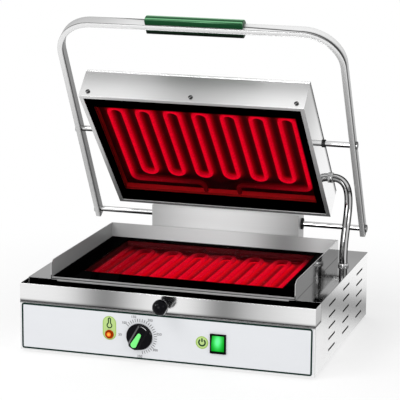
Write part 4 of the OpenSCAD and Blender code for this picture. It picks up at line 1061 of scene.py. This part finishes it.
# Controls
def build_ball_knob():
    """Ball on a short stem with a flared foot, turned about the line square to the tray's front."""
    low, high = node_box("tray_knob")
    radius = (high[0] - low[0]) / 2
    centre = np.array(((low[0] + high[0]) / 2, high[1], (low[2] + high[2]) / 2))
    reach = high[1] - low[1] - radius
    ball = [(reach + radius * math.cos(a), radius * math.sin(a))
            for a in np.linspace(math.pi * 0.89, 0.02, 26)]
    profile = [(0, 7.5 * MM), (1 * MM, 7.3 * MM), (3 * MM, 5.4 * MM), (4 * MM, 4.5 * MM)] + ball
    add_piece("ball_knob", turned(profile, centre, -BACK), "tray", ball_black, ["tray_knob"],
              crease=60)


DIAL_POINTER = math.radians(241)
DIAL_BAR_HALF = 6.3 * MM
DIAL_SKIRT = 4 * MM


def build_dial():
    """Knob as a row of chord sections beside the finger bar: the top is a low crown that rises to the bar as
    exp(-(distance beyond the bar / 3 mm) squared), and its rim is rounded."""
    low, high = node_box("thermostat_knob")
    radius = (high[0] - low[0]) / 2
    bar_top = high[1] - low[1]
    centre = np.array((DIAL[0], high[1], DIAL[2]))
    along = math.cos(DIAL_POINTER) * RIGHT + math.sin(DIAL_POINTER) * UP
    cross = np.cross(-BACK, along)
    v = radius * np.sin(np.radians(np.linspace(-87, 87, 71)))
    chord = np.sqrt(radius ** 2 - v ** 2)
    s = chord[:, None] * np.cos(np.linspace(0, np.pi, 41))
    away = np.sqrt(s ** 2 + v[:, None] ** 2)
    fall = np.exp(-(np.clip(np.abs(v) - DIAL_BAR_HALF, 0, None) / (3 * MM)) ** 2)[:, None]
    crown = DIAL_SKIRT + 2.2 * MM * (1 - (away / radius) ** 2)
    top = crown + (bar_top - crown) * fall
    rim = np.clip((radius - away) / (1.6 * MM), 0, 1)
    top = 2.4 * MM + (top - 2.4 * MM) * np.sqrt(1 - (1 - rim) ** 2)
    foot = np.stack([-chord, chord], -1)
    flat = np.concatenate([s, foot], 1)
    high_part = np.concatenate([top, np.zeros_like(foot)], 1)
    rings = centre + flat[..., None] * along + v[:, None, None] * cross + high_part[..., None] * -BACK
    add_piece("dial_knob", prism(rings), "dial", dial_black, ["thermostat_knob"])
    drop = two_circle_outline(3.3 * MM, 5.3 * MM, 19.75 * MM)
    tail = centre + (bar_top - 0.3 * MM) * -BACK - 6 * MM * along
    add_piece("dial_pointer", plate(drop, 1.0 * MM, 0.3 * MM, tail, along, cross), "dial",
              pointer_green, ["knob_pointer"])


def build_lamp():
    """Turned lens: a collar on the panel, a groove and a domed middle."""
    low, high = node_box("pilot_lens")
    radius = (high[0] - low[0]) / 2
    centre = np.array(((low[0] + high[0]) / 2, high[1], (low[2] + high[2]) / 2))
    reach = high[1] - low[1]
    dome = [(reach - 2.4 * MM * (1 - math.cos(a)), 0.62 * radius * math.sin(a) / math.sin(1.2))
            for a in np.linspace(1.2, 0.03, 12)]
    profile = [(0, radius - 0.3 * MM), (reach - 3.4 * MM, radius), (reach - 2.6 * MM, radius - 0.5 * MM),
               (reach - 2.2 * MM, radius - 1.4 * MM), (reach - 2.9 * MM, 0.66 * radius)] + dome
    add_piece("lamp_lens", turned(profile, centre, -BACK), "base", lamp_orange, ["pilot_lens"])


def build_gland_and_feet():
    """Turned cable inlet with a bore, flange and cap, and turned rubber feet with rounded soles."""
    low, high = node_box("cable_gland")
    middle = (low + high) / 2
    inside = np.array((middle[0], low[1], middle[2]))
    long = high[1] - low[1]
    wall = node_box("base_shell")[1][1] - low[1]
    ring = [(0, 4.5 * MM), (0, 7 * MM), (wall - 6.2 * MM, 7 * MM), (wall - 6.2 * MM, 11 * MM),
            (wall - 1.2 * MM, 11 * MM), (wall - 1.2 * MM, 7 * MM), (wall, 7 * MM), (wall, 11 * MM),
            (wall + 3 * MM, 11 * MM), (wall + 4 * MM, 10 * MM), (wall + 4 * MM, 9 * MM),
            (long - 2.5 * MM, 8.6 * MM), (long - 0.8 * MM, 7.6 * MM), (long, 6.4 * MM),
            (long, 4.9 * MM), (long - 0.4 * MM, 4.5 * MM)]
    add_piece("cable_inlet", turned_hoop(ring, inside, BACK), "base", black_plastic,
              ["cable_gland"])
    low, high = node_box("feet")
    radius = 12 * MM
    foot = [(0, radius - 1.6 * MM), (0.5 * MM, radius - 0.5 * MM), (1.6 * MM, radius), (high[2], radius)]
    feet = [turned(foot, np.array((x, y, 0.0)), UP) for x in (low[0] + radius, high[0] - radius)
            for y in (low[1] + radius, high[1] - radius)]
    add_piece("rubber_feet", together(feet), "base", black_rubber, ["feet"])


# Print on the control panel
INK = 0.12 * MM
SIGN_INK = 1.5 * INK
LAMP_SIGN_X = -97.4 * MM
SWITCH_SIGN = (66.3 * MM, 46.3 * MM)
TICK_TURNS = (140, -80, 27)
TICK_RADIUS = 28.2 * MM
FIGURE_RADIUS = 35 * MM
FIGURE_SIZE = 6.2 * MM
DIAL_MARKS = {180: "50", 142: "100", 108: "150", 58: "200", 11: "250", -38: "300", -90: "350"}


def number_mesh(text, size, middle):
    """Flat figures of a little thickness, made a mesh and then set on the panel."""
    letters = bpy.data.curves.new("figures", "FONT")
    letters.body = text
    letters.size = size
    letters.align_x = "CENTER"
    letters.align_y = "CENTER"
    letters.extrude = INK / 2
    letters.resolution_u = 3
    holder = bpy.data.objects.new("figures", letters)
    bpy.context.scene.collection.objects.link(holder)
    shape = holder.evaluated_get(bpy.context.evaluated_depsgraph_get())
    flat = bpy.data.meshes.new_from_object(shape)
    points = np.empty(len(flat.vertices) * 3)
    flat.vertices.foreach_get("co", points)
    points = points.reshape(-1, 3)
    faces = [list(face.vertices) for face in flat.polygons]
    bpy.data.objects.remove(holder)
    bpy.data.curves.remove(letters)
    bpy.data.meshes.remove(flat)
    return middle + points[:, :1] * RIGHT + points[:, 1:2] * UP - (points[:, 2:] + INK / 2) * BACK, faces


def add_print(name, surface, material):
    """Printed piece on the panel."""
    add_piece(name, surface, "base", material)


def build_print():
    """Border line, lamp field with thermometer sign, dial scale and switch sign, raised by the ink's
    thickness."""
    border = rounded_rectangle(254.7 * MM, 38.9 * MM, 2.6 * MM) + np.array((-0.5, 46.7)) * MM
    add_print("panel_border", line_round(border, 3.0 * MM, INK, panel_point(0, 0)), print_border)
    pill = rounded_rectangle(11.4 * MM, 20.3 * MM, 11.39 * MM, 10)
    pill_middle = panel_point(LAMP_SIGN_X, 56.4 * MM)
    add_print("lamp_field", plate(pill, INK, 0.03 * MM, pill_middle), print_pale)
    add_print("lamp_field_line", line_round(pill, 1.2 * MM, 1.4 * INK, pill_middle), print_leaf)
    stem = np.concatenate([arc((0, 0), 4.2 * MM, 117, 423, 24), arc((0, 11 * MM), 1.9 * MM, 0, 180, 10)])
    sign = line_round(stem, 1.9 * MM, SIGN_INK, panel_point(LAMP_SIGN_X, 61 * MM))
    add_print("thermometer_sign", sign, print_green)
    dial_middle = panel_point(DIAL[0], DIAL[2])
    tick = rounded_rectangle(2.7 * MM, 0.42 * MM, 0.1 * MM, 2)
    ticks = []
    for turn in np.radians(np.linspace(*TICK_TURNS)):
        along = math.cos(turn) * RIGHT + math.sin(turn) * UP
        ticks.append(plate(tick, INK, 0.02 * MM, dial_middle + TICK_RADIUS * along, along,
                           np.cross(-BACK, along)))
    add_print("dial_ticks", together(ticks), print_black)
    figures = []
    for angle, text in DIAL_MARKS.items():
        turn = math.radians(angle)
        place = dial_middle + FIGURE_RADIUS * (math.cos(turn) * RIGHT + math.sin(turn) * UP)
        figures.append(number_mesh(text, FIGURE_SIZE, place))
    add_print("dial_figures", together(figures), print_black)
    power_middle = panel_point(*SWITCH_SIGN)
    disc = circle(48) * 10.2 * MM
    add_print("switch_field", plate(disc, INK, 0.03 * MM, power_middle), print_pale)
    add_print("switch_field_line", line_round(disc, 1.4 * MM, 1.4 * INK, power_middle), print_leaf)
    arms = np.concatenate([arc((0, 0), 6.8 * MM, 125, 415, 40), arc((0, 0), 4.2 * MM, 415, 125, 40)])
    bar = rounded_rectangle(1.25 * MM, 3.2 * MM, 0.5 * MM, 3)
    power = [plate(arms, SIGN_INK, 0.02 * MM, power_middle),
             plate(bar, SIGN_INK, 0.02 * MM, power_middle + 4.2 * MM * UP)]
    add_print("switch_sign", together(power), print_green)


build_bail()
build_grip()
build_shaft_and_pins()
build_screws()
build_conduit()
build_ball_knob()
build_dial()
build_lamp()
build_gland_and_feet()
build_print()

# Camera at the photograph's place, measured from the shaft
CAMERA_FROM_SHAFT = np.array((0.95239, -3.31808, 0.80491))
CAMERA_RIGHT = (0.9564, 0.2921, 0.0076)
CAMERA_UP = (-0.0708, 0.2064, 0.9759)
CAMERA_FORWARD = (-0.2835, 0.9339, -0.2181)
CAMERA_LENS = 172.36
CAMERA_SENSOR = 36.0


def stand(axes, place):
    """Matrix of an object from its three axes and its place."""
    turn = np.eye(4)
    turn[:3, :3] = np.array(axes).T
    turn[:3, 3] = place
    return Matrix(turn.tolist())


camera_data = bpy.data.cameras.new("photo_camera")
camera_data.lens = CAMERA_LENS
camera_data.sensor_width = CAMERA_SENSOR
camera_data.sensor_fit = "HORIZONTAL"
camera = bpy.data.objects.new("photo_camera", camera_data)
camera.matrix_world = stand((CAMERA_RIGHT, CAMERA_UP, -np.array(CAMERA_FORWARD)), SHAFT + CAMERA_FROM_SHAFT)
bpy.context.scene.collection.objects.link(camera)
bpy.context.scene.camera = camera


# Floor, world and lamps
FLOOR_HALF = 14.0
SHADOW_NEAR = 0.35
SHADOW_FAR = 0.9
SHADOW_WHITE = 0.55
SOFT_LEVEL = 0.72


def build_floor():
    """Pale floor that takes the shadow near the object and turns into even white further out."""
    mesh = bpy.data.meshes.new("floor")
    corners = [(x * FLOOR_HALF, y * FLOOR_HALF, 0) for x, y in ((-1, -1), (1, -1), (1, 1), (-1, 1))]
    mesh.from_pydata(corners, [], [(0, 1, 2, 3)])
    floor = bpy.data.objects.new("floor", mesh)
    bpy.context.scene.collection.objects.link(floor)
    material = bpy.data.materials.new("pale_floor")
    material.use_nodes = True
    tree = material.node_tree
    tree.nodes.clear()
    out = tree.nodes.new("ShaderNodeOutputMaterial")
    mix = tree.nodes.new("ShaderNodeMixShader")
    near = tree.nodes.new("ShaderNodeBsdfDiffuse")
    near.inputs["Color"].default_value = (0.94, 0.94, 0.94, 1)
    far = tree.nodes.new("ShaderNodeEmission")
    far.inputs["Strength"].default_value = 1.0
    place = tree.nodes.new("ShaderNodeTexCoord").outputs["Object"]
    spread = tree.nodes.new("ShaderNodeMapRange")
    spread.interpolation_type = "SMOOTHSTEP"
    spread.inputs["From Min"].default_value = SHADOW_NEAR
    spread.inputs["From Max"].default_value = SHADOW_FAR
    spread.inputs["To Min"].default_value = SHADOW_WHITE
    tree.links.new(vector_calc(tree, "LENGTH", place, (0, 0, 0), "Value"), spread.inputs["Value"])
    tree.links.new(spread.outputs["Result"], mix.inputs["Fac"])
    tree.links.new(near.outputs[0], mix.inputs[1])
    tree.links.new(far.outputs[0], mix.inputs[2])
    tree.links.new(mix.outputs[0], out.inputs["Surface"])
    mesh.materials.append(material)


def build_world():
    """White surroundings for camera, mirror and glass rays, and a softer level for the light on the
    object."""
    world = bpy.data.worlds.new("studio")
    bpy.context.scene.world = world
    world.use_nodes = True
    tree = world.node_tree
    path = tree.nodes.new("ShaderNodeLightPath").outputs
    seen = calc(tree, "MAXIMUM", path["Is Camera Ray"],
                calc(tree, "MAXIMUM", path["Is Glossy Ray"], path["Is Transmission Ray"]))
    level = calc(tree, "ADD", calc(tree, "MULTIPLY", seen, 1 - SOFT_LEVEL), SOFT_LEVEL)
    tree.nodes["Background"].inputs["Color"].default_value = (1, 1, 1, 1)
    tree.links.new(level, tree.nodes["Background"].inputs["Strength"])


def build_lamp_light(name, place, aim, size, power):
    """Soft rectangular lamp aimed at a point."""
    data = bpy.data.lights.new(name, "AREA")
    data.shape = "RECTANGLE"
    data.size, data.size_y = size
    data.energy = power
    lamp = bpy.data.objects.new(name, data)
    bpy.context.scene.collection.objects.link(lamp)
    back = np.asarray(place, float) - np.asarray(aim, float)
    back /= np.linalg.norm(back)
    side, rise = side_axes(back)
    lamp.matrix_world = stand((side, rise, back), place)


build_floor()
build_world()
build_lamp_light("key", (-1.6, -1.8, 2.6), (0, 0, 0.2), (1.6, 1.2), 30)
build_lamp_light("fill", (2.4, -1.2, 1.4), (0, 0, 0.2), (0.8, 0.8), 10)
build_lamp_light("front", (-0.3, -2.6, 0.75), (0, 0, 0.2), (1.2, 1.0), 26)
bpy.context.scene.view_settings.view_transform = "Standard"
